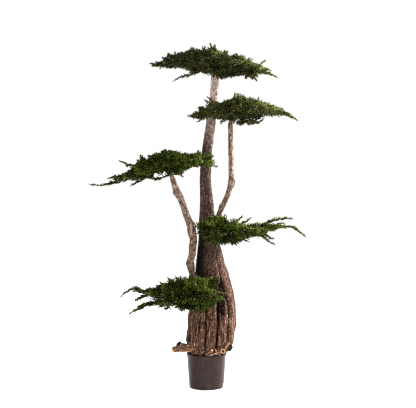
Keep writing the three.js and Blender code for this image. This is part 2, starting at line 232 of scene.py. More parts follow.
pot_plastic = new_material("pot_plastic", specular=0.09)
bloom = add_noise(pot_plastic, 0.05, detail=5)
streak = add_noise(pot_plastic, 0.012, detail=3, stretch=(1, 1, 7))
grain = add_noise(pot_plastic, 0.0009, detail=2)
plastic = add_ramp(pot_plastic, bloom, (0.36, 46, 35, 32), (0.64, 52, 40, 37))
dusty = add_ramp(pot_plastic, streak, (0.45, 0.0), (0.75, 0.07))
plastic = mix_colours(pot_plastic, plastic, (dusty, srgb(104, 92, 87)))
sheen = add_ramp(pot_plastic, bloom, (0.3, 0.26), (0.7, 0.34))
finish_material(pot_plastic, plastic, roughness=sheen, height=grain, depth=0.00002)

pot = mesh_piece("pot_shell", *closed_tubes(turned(pot_profile, POT_SIDES)[None]), pot_plastic, crease=35)
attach(pot, "root")
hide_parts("pot")

# Filling: the set filling that holds the trunk in the pot, its top rough with crumbled bark. Loose bark
# chips lie on it in the narrow ring between the pot's rim and the foot of the trunk.
FILLING_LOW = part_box("filling")[0].z
FILLING_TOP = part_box("filling")[1].z
FILLING_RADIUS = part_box("filling")[1].x
FILLING_TAPER = 0.012
WALL_GAP = 0.001
FILLING_ROWS = 40
FILLING_SIDES = 120
CRUMBS = [(1, (0.008, 0.008, 1)), (0.6, (0.0035, 0.0035, 1))]
CRUMB_HEIGHT = 0.0024
CHIP_COUNT = 230
CHIP_DICE = 5
CHIP_RING = (0.080, 0.092)
CHIP_RISE = (0.001, 0.018)
CHIP_LENGTH = (0.012, 0.03)
CHIP_WIDTH = 0.26
CHIP_ENDS = (0.03, 0.97)
CHIP_SEEDS = (4, 7.3)
CHIP_BROKEN = 0.35
CHIP_TILT = 0.5
CHIP_PITCH = 0.4
CHIP_ROWS = 6
CHIP_COLUMNS = 7
GOLDEN_ANGLE = np.pi * (3 - np.sqrt(5))


def noise(points, size):
    """Smooth noise from -1 to 1 with features of a size (x, y, z): random values at the corners of a grid
    of cells that large, mixed by large primes from the corners' numbers, and blended along each axis by
    6 f^5 - 15 f^4 + 10 f^3 of the share f into the cell."""
    places = np.asarray(points, float) / np.asarray(size, float)
    cells = np.floor(places).astype(np.int64)
    shares = places - cells
    weights = shares**3 * (shares * (6 * shares - 15) + 10)
    total = 0.0
    for corner in np.ndindex(2, 2, 2):
        x, y, z = np.moveaxis(cells + np.array(corner), -1, 0)
        mixed = (x * 374761393 + y * 668265263 + z * 1440662683) & 0xFFFFFFFF
        mixed = ((mixed ^ (mixed >> 13)) * 1274126177) & 0xFFFFFFFF
        value = ((mixed ^ (mixed >> 16)) & 0xFFFF) / 32767.5 - 1
        total = total + value * np.prod(np.where(corner, weights, 1 - weights), axis=-1)
    return total


def layered_noise(points, layers):
    """The sum of noises of several (weight, size) layers."""
    return sum(weight * noise(points, size) for weight, size in layers)


def chip_rings(middles, lengths, turns, tilts, width):
    """Flat bark chips: at share s of its length a chip is a ring of radius (sin pi s)^0.35 with a broken
    outline, squashed to a third, then tilted about its length, pitched along it by the cosine of 5 tilts,
    turned about Z and set at its middle. The width is a share of the length."""
    share = np.linspace(*CHIP_ENDS, CHIP_ROWS)[None, :, None]
    angle = right_round(CHIP_COLUMNS)
    number = np.arange(len(middles))[:, None, None]
    seeds = [share * CHIP_SEEDS[0] + number * CHIP_SEEDS[1], np.cos(angle), np.sin(angle)]
    broken = 1 + CHIP_BROKEN * noise(np.stack(np.broadcast_arrays(*seeds), -1), (1, 1, 1))
    size, turn, tilt = (values[:, None, None] for values in (lengths, turns, tilts))
    girth = size * np.sin(np.pi * share) ** 0.35 * broken
    along = (share - 0.5) * size + 0 * angle
    across = width * girth * np.cos(angle)
    upward = width / 3 * girth * np.sin(angle) + CHIP_TILT * across * np.sin(tilt)
    upward = upward + CHIP_PITCH * along * np.cos(tilt * 5)
    x = along * np.cos(turn) - across * np.sin(turn)
    y = along * np.sin(turn) + across * np.cos(turn)
    return np.stack([x, y, upward], -1) + middles[:, None, None, :]


top_radii = np.linspace(FILLING_RADIUS - WALL_GAP, POLE_RADIUS, FILLING_ROWS)
filling_profile = np.concatenate([
    [(POLE_RADIUS, FILLING_LOW), (FILLING_RADIUS - FILLING_TAPER, FILLING_LOW)],
    [(FILLING_RADIUS - WALL_GAP, FILLING_TOP - FILLING_TAPER)],
    np.stack([top_radii, np.full(FILLING_ROWS, FILLING_TOP)], -1),
])
filling_rings = turned(filling_profile, FILLING_SIDES)
filling_rings[-FILLING_ROWS:, :, 2] += CRUMB_HEIGHT * layered_noise(filling_rings[-FILLING_ROWS:], CRUMBS)

bark_crumbs = new_material("bark_crumbs", specular=0.2)
patches = add_noise(bark_crumbs, 0.009, detail=6, roughness=0.65)
fine = add_noise(bark_crumbs, 0.0015, detail=4)
crumb_colour = add_ramp(bark_crumbs, patches, (0.3, 38, 26, 20), (0.52, 72, 50, 37), (0.68, 108, 78, 58),
                        (0.8, 150, 116, 88))
finish_material(bark_crumbs, crumb_colour, roughness=0.92, height=fine, depth=0.0012)

filling = mesh_piece("filling_top", *closed_tubes(filling_rings[None]), bark_crumbs)
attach(filling, "root")
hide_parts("filling")

dice = np.random.default_rng(CHIP_DICE)
chip_turns = dice.uniform(0, 2 * np.pi, CHIP_COUNT)
chip_angles = np.arange(CHIP_COUNT) * GOLDEN_ANGLE
chip_out = dice.uniform(*CHIP_RING, CHIP_COUNT)
chip_heights = FILLING_TOP + dice.uniform(*CHIP_RISE, CHIP_COUNT)
chip_middles = polar(chip_out, chip_angles, chip_heights)
chip_lengths = dice.uniform(*CHIP_LENGTH, CHIP_COUNT)
chip_tilts = dice.uniform(-1, 1, CHIP_COUNT)
chip_points, chip_faces = closed_tubes(
    chip_rings(chip_middles, chip_lengths, chip_turns, chip_tilts, CHIP_WIDTH))
chip_reach = np.linalg.norm(chip_points[:, :2], axis=1, keepdims=True)
chip_points[:, :2] *= np.minimum(1, (FILLING_RADIUS - WALL_GAP) / np.maximum(chip_reach, 1e-6))
chips = mesh_piece("bark_chips", chip_points, chip_faces, bark_crumbs, smooth=False)
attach(chips, "root")

# Trunk: the bark-covered trunk, standing on its flat cut in the filling. It flares below into columns with
# deep grooves between them, leans left and then right, and its bark turns scaly and pale towards the top.
# A level is a height, its middle's X and Y and its radius in millimetres.
TRUNK_LEVELS = np.array([
    (158.3, 2, 0, 85), (176, 4, 0, 94.5), (190, 9, 0, 106), (205, 17, 0, 114), (240, 19, 0, 127),
    (330, 27, 2, 128), (414, 32, 3, 124), (498, 31, 4, 111), (582, 26, 4, 94), (666, 18, 5, 74),
    (750, 12, 6, 58), (918, 2, 8, 39), (960, 1.5, 8, 35.5), (1023, -1.5, 8, 32.5), (1086, -8, 8, 29),
    (1230, 1, 6, 27), (1380, 22, 3, 25), (1548, 42, 0, 22.2), (1640, 46, 0, 20.5), (1674, 45.5, 0, 12.5),
    (1702, 45, 0, 5.5),
]) / 1000
BLUR_FROM = 0.16
BLUR_GROWTH = 0.25
BLUR_MOST = 0.025
BLUR_STEPS = 9
TRUNK_ROWS = 508
TRUNK_COLUMNS = 192
GROOVE_ANGLES, GROOVE_DRIFTS, GROOVE_DEPTHS, GROOVE_TOPS = np.array([
    (25, 0, 0.16, 0.70), (60, 0, 0.18, 0.66), (95, 0, 0.16, 0.72), (132, 0, 0.18, 0.68),
    (170, 0, 0.17, 0.70), (206, 0, 0.20, 0.84), (240, 4, 0.10, 0.60), (254, 2, 0.23, 0.62),
    (286, -6, 0.33, 0.66), (317, -18, 0.29, 0.76), (350, -10, 0.14, 0.62),
]).T
GROOVE_FULL = 0.46
GROOVE_WAVER = [(2, (0.5, 0.5, 0.10)), (1, (0.2, 0.2, 0.03))]
DRIFT_RISES = (0.42, 0.64)
CLEFT = (0.66, 0.34)
# A hollow's shade is painted shade in its dent.
HOLLOWS = [
    dict(angle=214, width=34, depth=0.15, shade=1.25, rises=(0.50, 0.60), falls=(0.80, 0.90)),
    dict(angle=297, width=12, depth=0.17, shade=1.05, rises=(0.35, 0.41), falls=(0.53, 0.60)),
    dict(angle=275, width=26, depth=0.03, shade=0.30, rises=(0.84, 0.92), falls=(1.05, 1.20)),
]
ROUND_ABOUT = (0.3, 0.3, 5)
RAGGED_HEIGHT = 0.008
RAGGED_FADES = (0.2, 0.3)
# Painted shade at the trunk's foot, in the pot's mouth below a wavy line, and among the leaves at the top.
FOOT_SHADE_LEVEL = 0.178
FOOT_SHADE_WAVE = 0.014
FOOT_SHADE_FADES = (-0.006, 0.008)
FOOT_SHADE = 0.25
LEAF_SHADE = 0.7
IN_LEAF = (1.635, 1.662)
RIBS = [(1, (0.012, 0.012, 0.10)), (0.6, (0.007, 0.007, 0.03))]
PLATES = [(1, (0.022, 0.022, 0.04)), (0.8, (0.011, 0.011, 0.018))]
GRAINS = [(1, (0.0065, 0.0065, 0.009))]
SPLIT_WIDTH = 0.15
COARSE_RADIUS = 0.11
COARSE_LEAST = 0.25
COARSE_BARK = (0.0012, 0.0020, -0.0028)
FINE_BARK = (0.0007, 0.0011)
BARK_RISES = (0.175, 0.2)
FOOT_GAP = 0.004
# Weights of the painted shade in the grooves and in the bark's splits, and of the grains that break it up.
CREVICE_SHADE_WEIGHTS = (1 / 0.15, 0.45, -0.35)
# A painted highlight on one column's ridge, and pale scaly bark with painted light on the next column.
HIGHLIGHT_AND_PALE = (0.7, 0.22)
HIGHLIGHT_AND_PALE_HEIGHTS = ((0.20, 0.27), (0.54, 0.68))
RIDGE = ((0.35, 0.7), (0.92, 0.98))
RIDGE_COLUMN = 8
SCALY_COLUMN = 9


def smooth_step(values, low, high):
    """0 below low, 1 above high, and 3 t^2 - 2 t^3 of the share t between them."""
    share = np.clip((values - low) / (high - low), 0, 1)
    return share * share * (3 - 2 * share)


def between(values, rises, falls):
    """1 between two smooth steps, up over rises and down over falls, and 0 outside them."""
    return smooth_step(values, *rises) * (1 - smooth_step(values, *falls))


def weighed(weights, *values):
    """The sum of values, each times its weight."""
    return sum(weight * value for weight, value in zip(weights, values))


def from_side(degrees, middle, width):
    """How many widths an angle lies to either side of a middle one, in degrees, the short way round."""
    return ((degrees - middle + 180) % 360 - 180) / width


def trunk_level(heights):
    """The trunk's middle line and radius at heights: straight between levels, then averaged over a window
    that widens from nothing at the foot to 25 mm each way, which rounds the corners at the levels."""
    window = np.clip((heights - BLUR_FROM) * BLUR_GROWTH, 0, BLUR_MOST)
    places = heights + np.linspace(-1, 1, BLUR_STEPS).reshape(-1, *[1] * np.ndim(heights)) * window
    levels = [np.interp(places, TRUNK_LEVELS[:, 0], TRUNK_LEVELS[:, k]).mean(axis=0) for k in (1, 2, 3)]
    return np.stack(levels[:2], -1), levels[2]


def trunk_columns(height, angle, wave):
    """The columns between the grooves: each point's column, its share t across it from -1 to 1, and how deep
    the nearer groove is. Grooves waver by noise, drift sideways as they rise and run out at their tops."""
    starts = GROOVE_ANGLES + GROOVE_DRIFTS * smooth_step(height[:, :1], *DRIFT_RISES)
    degrees = (np.degrees(angle) + layered_noise(wave, GROOVE_WAVER) - starts[:, :1]) % 360
    starts = starts - starts[:, :1]
    column = (degrees[..., None] >= starts[:, None]).sum(axis=-1) - 1
    edges = np.concatenate([starts, np.full((len(height), 1), 360.0)], axis=1)
    left = np.take_along_axis(edges, column, axis=1)
    right = np.take_along_axis(edges, column + 1, axis=1)
    across = 2 * (degrees - left) / (right - left) - 1
    edge = np.where(across < 0, column, (column + 1) % len(GROOVE_ANGLES))
    depth = GROOVE_DEPTHS[edge] * (1 - smooth_step(height, GROOVE_FULL, GROOVE_TOPS[edge]))
    return column, across, depth


def trunk_shades(height, angle, wave):
    """The dents of the hollows, exp(-s^2) to their sides, and the painted shade in them, in the pot's mouth
    below a wavy line and among the leaves at the top."""
    dent, shade = 0.0, 0.0
    for hollow in HOLLOWS:
        side = from_side(np.degrees(angle), hollow["angle"], hollow["width"])
        sunk = between(height, hollow["rises"], hollow["falls"]) * np.exp(-side**2)
        dent = dent + hollow["depth"] * sunk
        shade = shade + hollow["shade"] * sunk
    # Painted shade below a wavy line at the foot, and among the leaves at the top.
    foot_shade_line = FOOT_SHADE_LEVEL + FOOT_SHADE_WAVE * noise(wave, ROUND_ABOUT)
    shade = shade + FOOT_SHADE * (1 - smooth_step(height - foot_shade_line, *FOOT_SHADE_FADES))
    return dent, shade + LEAF_SHADE * smooth_step(height, *IN_LEAF)


def trunk_surface(heights, angles):
    """Rings round the middle line of radius x (1 - grooves - dents) + bark. A column falls in to its grooves
    by 0.66 |t|^9 + 0.34 t^2 of their depth, and the foot keeps clear of the pot's mouth. The bark is noise in
    ribs, plates and grains, split where the ribs' noise passes 0, and coarser where the trunk is stout.
    Gives the points, bark coordinates, the painted shade at each point, in a groove by |t|^7 of its depth,
    and the painted highlight on one column's ridge, with pale scaly bark and painted light all over the next
    column."""
    height, angle = np.broadcast_arrays(heights[:, None], angles[None, :])
    wave = polar(1, angle, height)
    column, across, depth = trunk_columns(height, angle, wave)
    dent, shade = trunk_shades(height, angle, wave)
    ragged = RAGGED_HEIGHT * noise(wave, ROUND_ABOUT) * (1 - smooth_step(height, *RAGGED_FADES))
    middle, radius = trunk_level(height + ragged)
    bark = polar(radius, angle, height)
    ribs, plates, grains = (layered_noise(bark, layers) for layers in (RIBS, PLATES, GRAINS))
    splits = np.exp(-((ribs / SPLIT_WIDTH) ** 2))
    coarse = np.clip(radius / COARSE_RADIUS, COARSE_LEAST, 1)
    relief = coarse * weighed(COARSE_BARK, ribs, plates, splits) + weighed(FINE_BARK, plates, grains)
    cleft = weighed(CLEFT, np.abs(across) ** 9, across**2)
    girth = radius * (1 - depth * cleft - dent) + relief * smooth_step(height, *BARK_RISES)
    in_pot = height < POT_HEIGHT + LIP_EDGE
    girth = np.where(in_pot, np.minimum(girth, MOUTH_RADIUS - FOOT_GAP), girth)
    flat = middle + girth[..., None] * wave[..., :2]
    # Painted shade in the grooves and splits, added to that of the hollows, the foot and the leaves.
    crevice = weighed(CREVICE_SHADE_WEIGHTS, depth * np.abs(across) ** 7, splits * coarse, grains) + shade
    # A painted highlight on the ridge, and pale scaly bark with painted light on the next column.
    ridge = between(across, *RIDGE) * (column == RIDGE_COLUMN)
    bleached = weighed(HIGHLIGHT_AND_PALE, ridge, column == SCALY_COLUMN) * between(height, *HIGHLIGHT_AND_PALE_HEIGHTS)
    return np.append(flat, height[..., None], -1), bark, np.clip(crevice, 0, 1), bleached


def barked_piece(name, rings, material, **values):
    """Closed tubes through rings, with numbers or vectors at the rings' points kept as attributes."""
    piece = mesh_piece(name, *closed_tubes(rings), material)
    for key, value in values.items():
        kind, field = ("FLOAT", "value") if value.ndim == 3 else ("FLOAT_VECTOR", "vector")
        layer = piece.data.attributes.new(key, kind, "POINT")
        layer.data.foreach_set(field, with_ends(value).astype(np.float32).reshape(-1))
    return piece


def read_attribute(material, name, output="Fac"):
    """An attribute of the piece's points as a material reads it."""
    return add_node(material, "Attribute", {"attribute_name": name}).outputs[output]


def add_threads(material, place, stretch):
    """Fine grey fibres about 2 mm wide, drawn out along Z by stretch, even about a middle grey."""
    fibres = add_noise(material, 0.002, detail=3, roughness=0.6, stretch=(1, 1, stretch), place=place)
    return add_ramp(material, fibres, (0.36, 0.16), (0.64, 0.84))


trunk_bark = new_material("trunk_bark", specular=0.06)
place = read_attribute(trunk_bark, "bark", "Vector")
in_crevice = read_attribute(trunk_bark, "crevice")
in_highlight_and_pale = read_attribute(trunk_bark, "bleached")
rise = add_node(trunk_bark, "SeparateXYZ", Vector=place).outputs["Z"]
fibre = add_noise(trunk_bark, 0.006, detail=6, roughness=0.65, stretch=(1, 1, 12), place=place)
grain = add_noise(trunk_bark, 0.0075, detail=7, roughness=0.72, stretch=(1, 1, 1.8), place=place)
flake = add_noise(trunk_bark, 0.0075, detail=6, roughness=0.7, stretch=(1, 1, 1.7), place=place)
broad = add_noise(trunk_bark, 0.08, detail=3, stretch=(1, 1, 2), place=place)
threads = add_threads(trunk_bark, place, 16)
rough = mix_colours(trunk_bark, fibre, (0.42, grain))
low_bark = add_ramp(trunk_bark, rough, (0.39, 30, 17, 10), (0.465, 71, 47, 35), (0.535, 104, 75, 59),
                    (0.63, 186, 152, 130))
high_bark = add_ramp(trunk_bark, flake, (0.37, 38, 27, 22), (0.47, 70, 54, 47), (0.57, 97, 78, 70),
                     (0.69, 172, 151, 142))
top_bark = add_ramp(trunk_bark, flake, (0.36, 122, 96, 84), (0.48, 190, 164, 150), (0.60, 236, 218, 206))
highlit_scales = add_ramp(trunk_bark, flake, (0.42, 40, 24, 18), (0.51, 116, 86, 70), (0.60, 226, 192, 172))
rising = add_node(trunk_bark, "MapRange", Value=rise, From_Min=0.50, From_Max=0.80).outputs[0]
topping = add_node(trunk_bark, "MapRange", Value=rise, From_Min=1.26, From_Max=1.52).outputs[0]
rust = add_ramp(trunk_bark, broad, (0.54, 0.0), (0.68, 0.3))
# The pale scales layer is a painted highlight on one ridge and pale scaly bark with painted light on the next
# column; the near-black layer is painted shade in the grooves, splits and hollows, at the foot and among the
# leaves.
colour = mix_colours(trunk_bark, low_bark, (rising, high_bark), (topping, top_bark),
                     (rust, srgb(126, 84, 58)), (in_highlight_and_pale, highlit_scales), (0.55, threads, "OVERLAY"),
                     (in_crevice, srgb(17, 9, 6)))
height = mix_colours(trunk_bark, rough, (0.5, flake), (0.12, threads))
finish_material(trunk_bark, colour, roughness=0.92, height=height, depth=0.004)

trunk_heights = np.linspace(TRUNK_LEVELS[0, 0], TRUNK_LEVELS[-1, 0], TRUNK_ROWS)
trunk_angles = right_round(TRUNK_COLUMNS)
rings, places, crevices, bleached = (values[None] for values in trunk_surface(trunk_heights, trunk_angles))
trunk = barked_piece("trunk_with_bark", rings, trunk_bark, bark=places, crevice=crevices, bleached=bleached)
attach(trunk, "root")
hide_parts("trunk")

# Roots: surface roots that grow out of the trunk's foot and were sawn off short just outside it. Most are
# barked on their sides, some are stripped to bare wood, and their cuts are weathered in different ways.
# Their knots and their radii at both ends are in millimetres.
ROOTS = {
    "left_root": [
        dict(knots=[(-40, -52, 232), (-100, -66, 217), (-140, -73, 213), (-168, -75, 210.5)],
             radii=(36, 15.5), end="worn", dome=0.85, stripped=0.3),
        dict(knots=[(-114, -68, 220), (-134, -76, 229), (-144, -84, 240)], radii=(20, 15), end="dark"),
    ],
    "right_root": [
        dict(knots=[(72, -52, 244), (104, -84, 226), (119, -102, 221)], radii=(26, 19.5), end="dark"),
        dict(knots=[(86, -106, 208), (99, -111, 224), (114, -104, 246)],
             radii=(7, 5.6), end="worn", dome=0.4, stripped=2.0),
    ],
    "front_root_left": [
        dict(knots=[(18, -60, 230), (26, -108, 217), (28.5, -128, 213.5)], radii=(18, 9.5), end="pale")],
    "front_root_right": [
        dict(knots=[(64, -60, 228), (77, -104, 212), (84, -126, 208)], radii=(18, 13.5), end="hearted")],
    "front_root_low": [
        dict(knots=[(36, -90, 224), (47, -119, 212), (56, -130, 197)],
             radii=(6, 4.5), end="worn", dome=0.4, stripped=2.0)],
}
CUT_SHADES = {
    "hearted": lambda share: 0.002 + 0.84 * share,
    "dark": lambda share: 0.002 + 0.42 * share**5,
    "pale": lambda share: 0.85 - 0.65 * share**3,
    "worn": lambda share: 0.58 + 0.1 * share,
}
SAWN_FROM = 0.001
BARE_WOOD = 0.57
BARE_FROM = 0.3
ROOT_RELIEF = 0.0026
RELIEF_SHARE = 0.13
ROOT_ROWS = 70
ROOT_COLUMNS = 44
CUT_ROWS = 7
CUT_RINGS = (0.94, 0.05)
UPRIGHT_RUN = 0.75
LIMB_SEED = 10
LIMB_LUMPS = [(1, (0.022, 0.022, 0.035))]
LIMB_RIBS = [(1, (0.009, 0.009, 0.04)), (0.6, (0.005, 0.005, 0.012))]
LIMB_BARK = (1.2, 0.8, -0.8)
CRACK_WIDTH = 0.16
CRACK_SHADE = 0.6
UP = np.array([0.0, 0.0, 1.0])


def path_marks(knots):
    """How far along the straight runs between knots each of them lies."""
    return np.concatenate([[0], np.cumsum(np.linalg.norm(np.diff(knots, axis=0), axis=1))])


def smooth_path(knots, steps):
    """Points along a curve through knots: between two of them the cubic 3 t^2 - 2 t^3 blend that leaves and
    arrives along the line joining each knot's neighbours, at even steps of the knots' own distances."""
    knots = np.asarray(knots, float)
    marks = path_marks(knots)
    slopes = np.gradient(knots, marks, axis=0)
    places = np.linspace(0, marks[-1], steps)
    part = np.clip(np.searchsorted(marks, places, side="right") - 1, 0, len(knots) - 2)
    span = (marks[part + 1] - marks[part])[:, None]
    t = (places - marks[part])[:, None] / span
    start = (2 * t**3 - 3 * t**2 + 1) * knots[part] + (t**3 - 2 * t**2 + t) * span * slopes[part]
    return start + (3 * t**2 - 2 * t**3) * knots[part + 1] + (t**3 - t**2) * span * slopes[part + 1]


def unit(vectors):
    """Vectors of the same direction and length 1."""
    return vectors / np.maximum(np.linalg.norm(vectors, axis=-1, keepdims=True), 1e-9)


def square_guide(ways, upright):
    """A direction well away from each way: X where the way is upright, Z elsewhere."""
    return np.where(np.abs(ways[..., 2:]) > upright, np.array([1.0, 0.0, 0.0]), UP)


def path_frames(paths):
    """The direction of each path at its points and two directions square to it and to each other: the first
    is square to X on a path whose run from end to end is upright, and to Z on any other."""
    tangents = unit(np.gradient(paths, axis=-2))
    run = unit(paths[..., -1:, :] - paths[..., :1, :])
    first = unit(np.cross(tangents, square_guide(run, UPRIGHT_RUN)))
    return tangents, first, np.cross(tangents, first)


def ring_spread(first, second, columns):
    """The directions first cos a + second sin a of a ring's points, for angles a right round."""
    angles = right_round(columns)[:, None]
    return first[..., None, :] * np.cos(angles) + second[..., None, :] * np.sin(angles)


def limb_bark(path, radius, columns, relief):
    """Bark coordinates (r cos a, r sin a, length along) of a limb, its radius with the bark on, and the
    painted
    shade in its cracks: lumps, ribs drawn out along the limb, and cracks where the ribs' noise passes 0."""
    along = path_marks(path) + LIMB_SEED * path[0, 0]
    places = polar(radius[:, None], right_round(columns), along[:, None])
    lumps, ribs = (layered_noise(places, layers) for layers in (LIMB_LUMPS, LIMB_RIBS))
    shaded_cracks = np.exp(-((ribs / CRACK_WIDTH) ** 2))
    girth = radius[:, None] + relief * weighed(LIMB_BARK, lumps, ribs, shaded_cracks)
    return places, girth, CRACK_SHADE * shaded_cracks


def limb_material(name, *stops):
    """Limb bark: streaky colours along the limb with dark flecks, and painted shade in its cracks. Where the
    attribute "cut" is above 0 it is bare wood, from a black heart at 0 to pale sapwood at 0.85."""
    material = new_material(name, specular=0.18)
    place = read_attribute(material, "bark", "Vector")
    shaded_cracks = read_attribute(material, "crevice")
    cut = read_attribute(material, "cut")
    streaks = add_noise(material, 0.008, detail=7, roughness=0.7, stretch=(1, 1, 2.5), place=place)
    flecks = add_noise(material, 0.010, detail=5, roughness=0.6, stretch=(1, 1, 1.6), place=place)
    threads = add_threads(material, place, 10)
    dark = add_ramp(material, flecks, (0.53, 0.0), (0.64, 0.85))
    wood = add_ramp(material, cut, (0.0, 26, 16, 11), (0.36, 64, 40, 25), (0.55, 158, 110, 64),
                    (0.85, 222, 190, 142), (1.0, 140, 98, 60))
    wood = mix_colours(material, wood, (0.35, flecks, "OVERLAY"))
    sawn = add_node(material, "Math", {"operation": "GREATER_THAN"})
    join(material, cut, sawn.inputs[0])
    join(material, SAWN_FROM, sawn.inputs[1])
    # The near-black brown layer over the cracks is painted shade.
    colour = mix_colours(material, add_ramp(material, streaks, *stops), (dark, srgb(70, 50, 38)),
                         (shaded_cracks, srgb(40, 26, 18)), (sawn.outputs[0], wood), (0.5, threads, "OVERLAY"))
    height = mix_colours(material, streaks, (0.12, threads))
    finish_material(material, colour, roughness=0.9, height=height, depth=0.003)
    return material


root_bark = limb_material("root_bark", (0.36, 48, 30, 20), (0.46, 92, 65, 49), (0.55, 132, 98, 76),
                          (0.65, 204, 168, 134))


def root_limb(knots, radii, end, dome=0.1, stripped=0.0):
    """One sawn root: a tube along its path, whose last rings shrink by a share s across the sawn end and
    stand out of it by dome x radius x (1 - s^2)^0.5. Its radius falls by the square of the way left. From its
    underside up to a stripped share of its radius the bark is gone. Gives rings and the attributes there."""
    path = smooth_path(np.array(knots) / 1000, ROOT_ROWS)
    first_radius, last_radius = np.array(radii) / 1000
    taper = last_radius + (first_radius - last_radius) * np.linspace(1, 0, ROOT_ROWS) ** 2
    relief = np.minimum(ROOT_RELIEF, RELIEF_SHARE * last_radius)
    places, girth, shaded_cracks = limb_bark(path, taper, ROOT_COLUMNS, relief)
    tangents, first, second = path_frames(path)
    rows = np.minimum(np.arange(ROOT_ROWS + CUT_ROWS), ROOT_ROWS - 1)
    shares = np.append(np.ones(ROOT_ROWS), np.linspace(*CUT_RINGS, CUT_ROWS))[:, None]
    spread = ring_spread(first, second, ROOT_COLUMNS)[rows]
    stands_out = tangents[rows] * dome * last_radius * np.sqrt(1 - shares**2)
    rings = path[rows, None] + (girth[rows] * shares)[..., None] * spread + stands_out[:, None]
    far_out = np.linspace(0, 1, ROOT_ROWS + CUT_ROWS)[:, None] > BARE_FROM
    cut = BARE_WOOD * (far_out & (spread[..., 2] < stripped - 1))
    cut[ROOT_ROWS:] = CUT_SHADES[end](shares[ROOT_ROWS:])
    return rings, places[rows] * shares[..., None], shaded_cracks[rows] * (cut == 0), cut


for name, limbs in ROOTS.items():
    rings, places, shaded_cracks, cuts = (np.stack(group) for group in zip(*(root_limb(**limb) for limb in limbs)))
    root = barked_piece(name + "_sawn", rings, root_bark, bark=places, crevice=shaded_cracks, cut=cuts)
    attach(root, "root")
    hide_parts(name)

# Splinters: pale slivers of torn wood and bark, broken off where the roots were sawn. They lie loose on the
# pot's rim under the front roots. Each has a place along X, a length and a turn in degrees.
SPLINTERS = np.array([(0.018, 0.030, 8), (0.033, 0.034, -12), (0.049, 0.036, 4), (0.026, 0.024, 22),
                      (0.058, 0.022, -10)])
SPLINTER_WIDTH = 0.15
SPLINTER_OUT = 0.107
SPLINTER_UP = 0.0055
SPLINTER_LAYERS = 3
SPLINTER_TILT = 0.3

sliver_x, sliver_lengths, sliver_degrees = SPLINTERS.T
sliver_up = POT_HEIGHT + SPLINTER_UP * (1 + np.arange(len(SPLINTERS)) % SPLINTER_LAYERS)
sliver_middles = np.stack([sliver_x, -np.sqrt(SPLINTER_OUT**2 - sliver_x**2), sliver_up], -1)
sliver_turns = np.radians(sliver_degrees) + np.arcsin(sliver_x / SPLINTER_OUT)
sliver_tilts = np.full(len(SPLINTERS), SPLINTER_TILT)
sliver_rings = chip_rings(sliver_middles, sliver_lengths, sliver_turns, sliver_tilts, SPLINTER_WIDTH)

torn_wood = new_material("torn_wood", specular=0.2)
streaks = add_noise(torn_wood, 0.004, detail=5, stretch=(4, 1, 1))
colour = add_ramp(torn_wood, streaks, (0.36, 140, 102, 82), (0.5, 208, 172, 150), (0.62, 240, 220, 206))
finish_material(torn_wood, colour, roughness=0.85, height=streaks, depth=0.0008)
splinters = mesh_piece("rim_splinters", *closed_tubes(sliver_rings), torn_wood, smooth=False)
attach(splinters, "root")

# Boughs: two slim limbs set into the trunk, one low on the left and one higher on the right. They are barked
# poles that swell at their knots and at the collar where they leave the trunk. A knot is (x, y, z, radius)
# and a burl (height, side in degrees), with lengths in millimetres.
BOUGHS = {
    "left_bough": dict(
        knots=[(-14, -48, 520, 21), (-73, -66, 588, 17.5), (-85, -60, 655, 19.6), (-74, -54, 705, 19.5),
               (-67, -52, 771, 18.5), (-81, -54, 845, 21.2), (-96, -56, 884, 17.8), (-131, -61, 981, 15.5),
               (-149, -63, 1020, 19), (-160, -64, 1046, 14), (-175, -66, 1086, 12.2),
               (-184, -71, 1118, 10.2), (-193, -77, 1160, 6.4)],
        burls=[(655, 90), (845, 270), (1022, 90), (760, 200)]),
    "right_bough": dict(
        knots=[(14, -4, 800, 15), (48, -14, 868, 14.2), (81, -22, 939, 13.2), (117, -29, 1023, 13),
               (131, -33, 1068, 16), (128, -36, 1110, 13), (126, -38, 1254, 13.6), (125, -40, 1380, 14),
               (131, -42, 1412, 11), (141, -45.7, 1440, 6.6)],
        burls=[(1070, 270), (945, 90), (1250, 200)]),
}
BOUGH_ROWS = 420
BOUGH_COLUMNS = 60
BOUGH_RELIEF = 0.0019
BEND_WINDOW = 0.02
BURL_HEIGHT = 0.006
BURL_LENGTH = 0.014
BURL_WIDTH = 45


def bent_path(knots, steps):
    """Points and girths along straight runs between knots (x, y, z, girth), averaged over a window that
    narrows to nothing at both ends, which rounds each bend only a little."""
    marks = path_marks(knots[:, :3])
    places = np.linspace(0, marks[-1], steps)
    window = np.minimum(BEND_WINDOW, np.minimum(places, marks[-1] - places))
    spots = places + np.linspace(-1, 1, BLUR_STEPS)[:, None] * window
    line = np.stack([np.interp(spots, marks, knots[:, k]).mean(axis=0) for k in range(4)], -1)
    return line[:, :3], line[:, 3]


bough_bark = limb_material("bough_bark", (0.36, 58, 40, 29), (0.46, 114, 91, 75), (0.55, 154, 128, 109),
                           (0.65, 216, 194, 176))
limb_paths = []
for name, limb in BOUGHS.items():
    path, taper = bent_path(np.array(limb["knots"]) / 1000, BOUGH_ROWS)
    limb_paths.append((path, taper))
    places, girth, shaded_cracks = limb_bark(path, taper, BOUGH_COLUMNS, BOUGH_RELIEF)
    for height, side in limb["burls"]:
        along = (path[:, 2:] - height / 1000) / BURL_LENGTH
        across = from_side(np.degrees(right_round(BOUGH_COLUMNS)), side, BURL_WIDTH)
        girth = girth + BURL_HEIGHT * np.exp(-(along**2) - across**2)
    rings = path[:, None] + girth[..., None] * ring_spread(*path_frames(path)[1:], BOUGH_COLUMNS)
    bough = barked_piece(name + "_barked", rings[None], bough_bark, bark=places[None], crevice=shaded_cracks[None],
                         cut=np.zeros((1, *girth.shape)))
    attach(bough, "root")
    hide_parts(name)

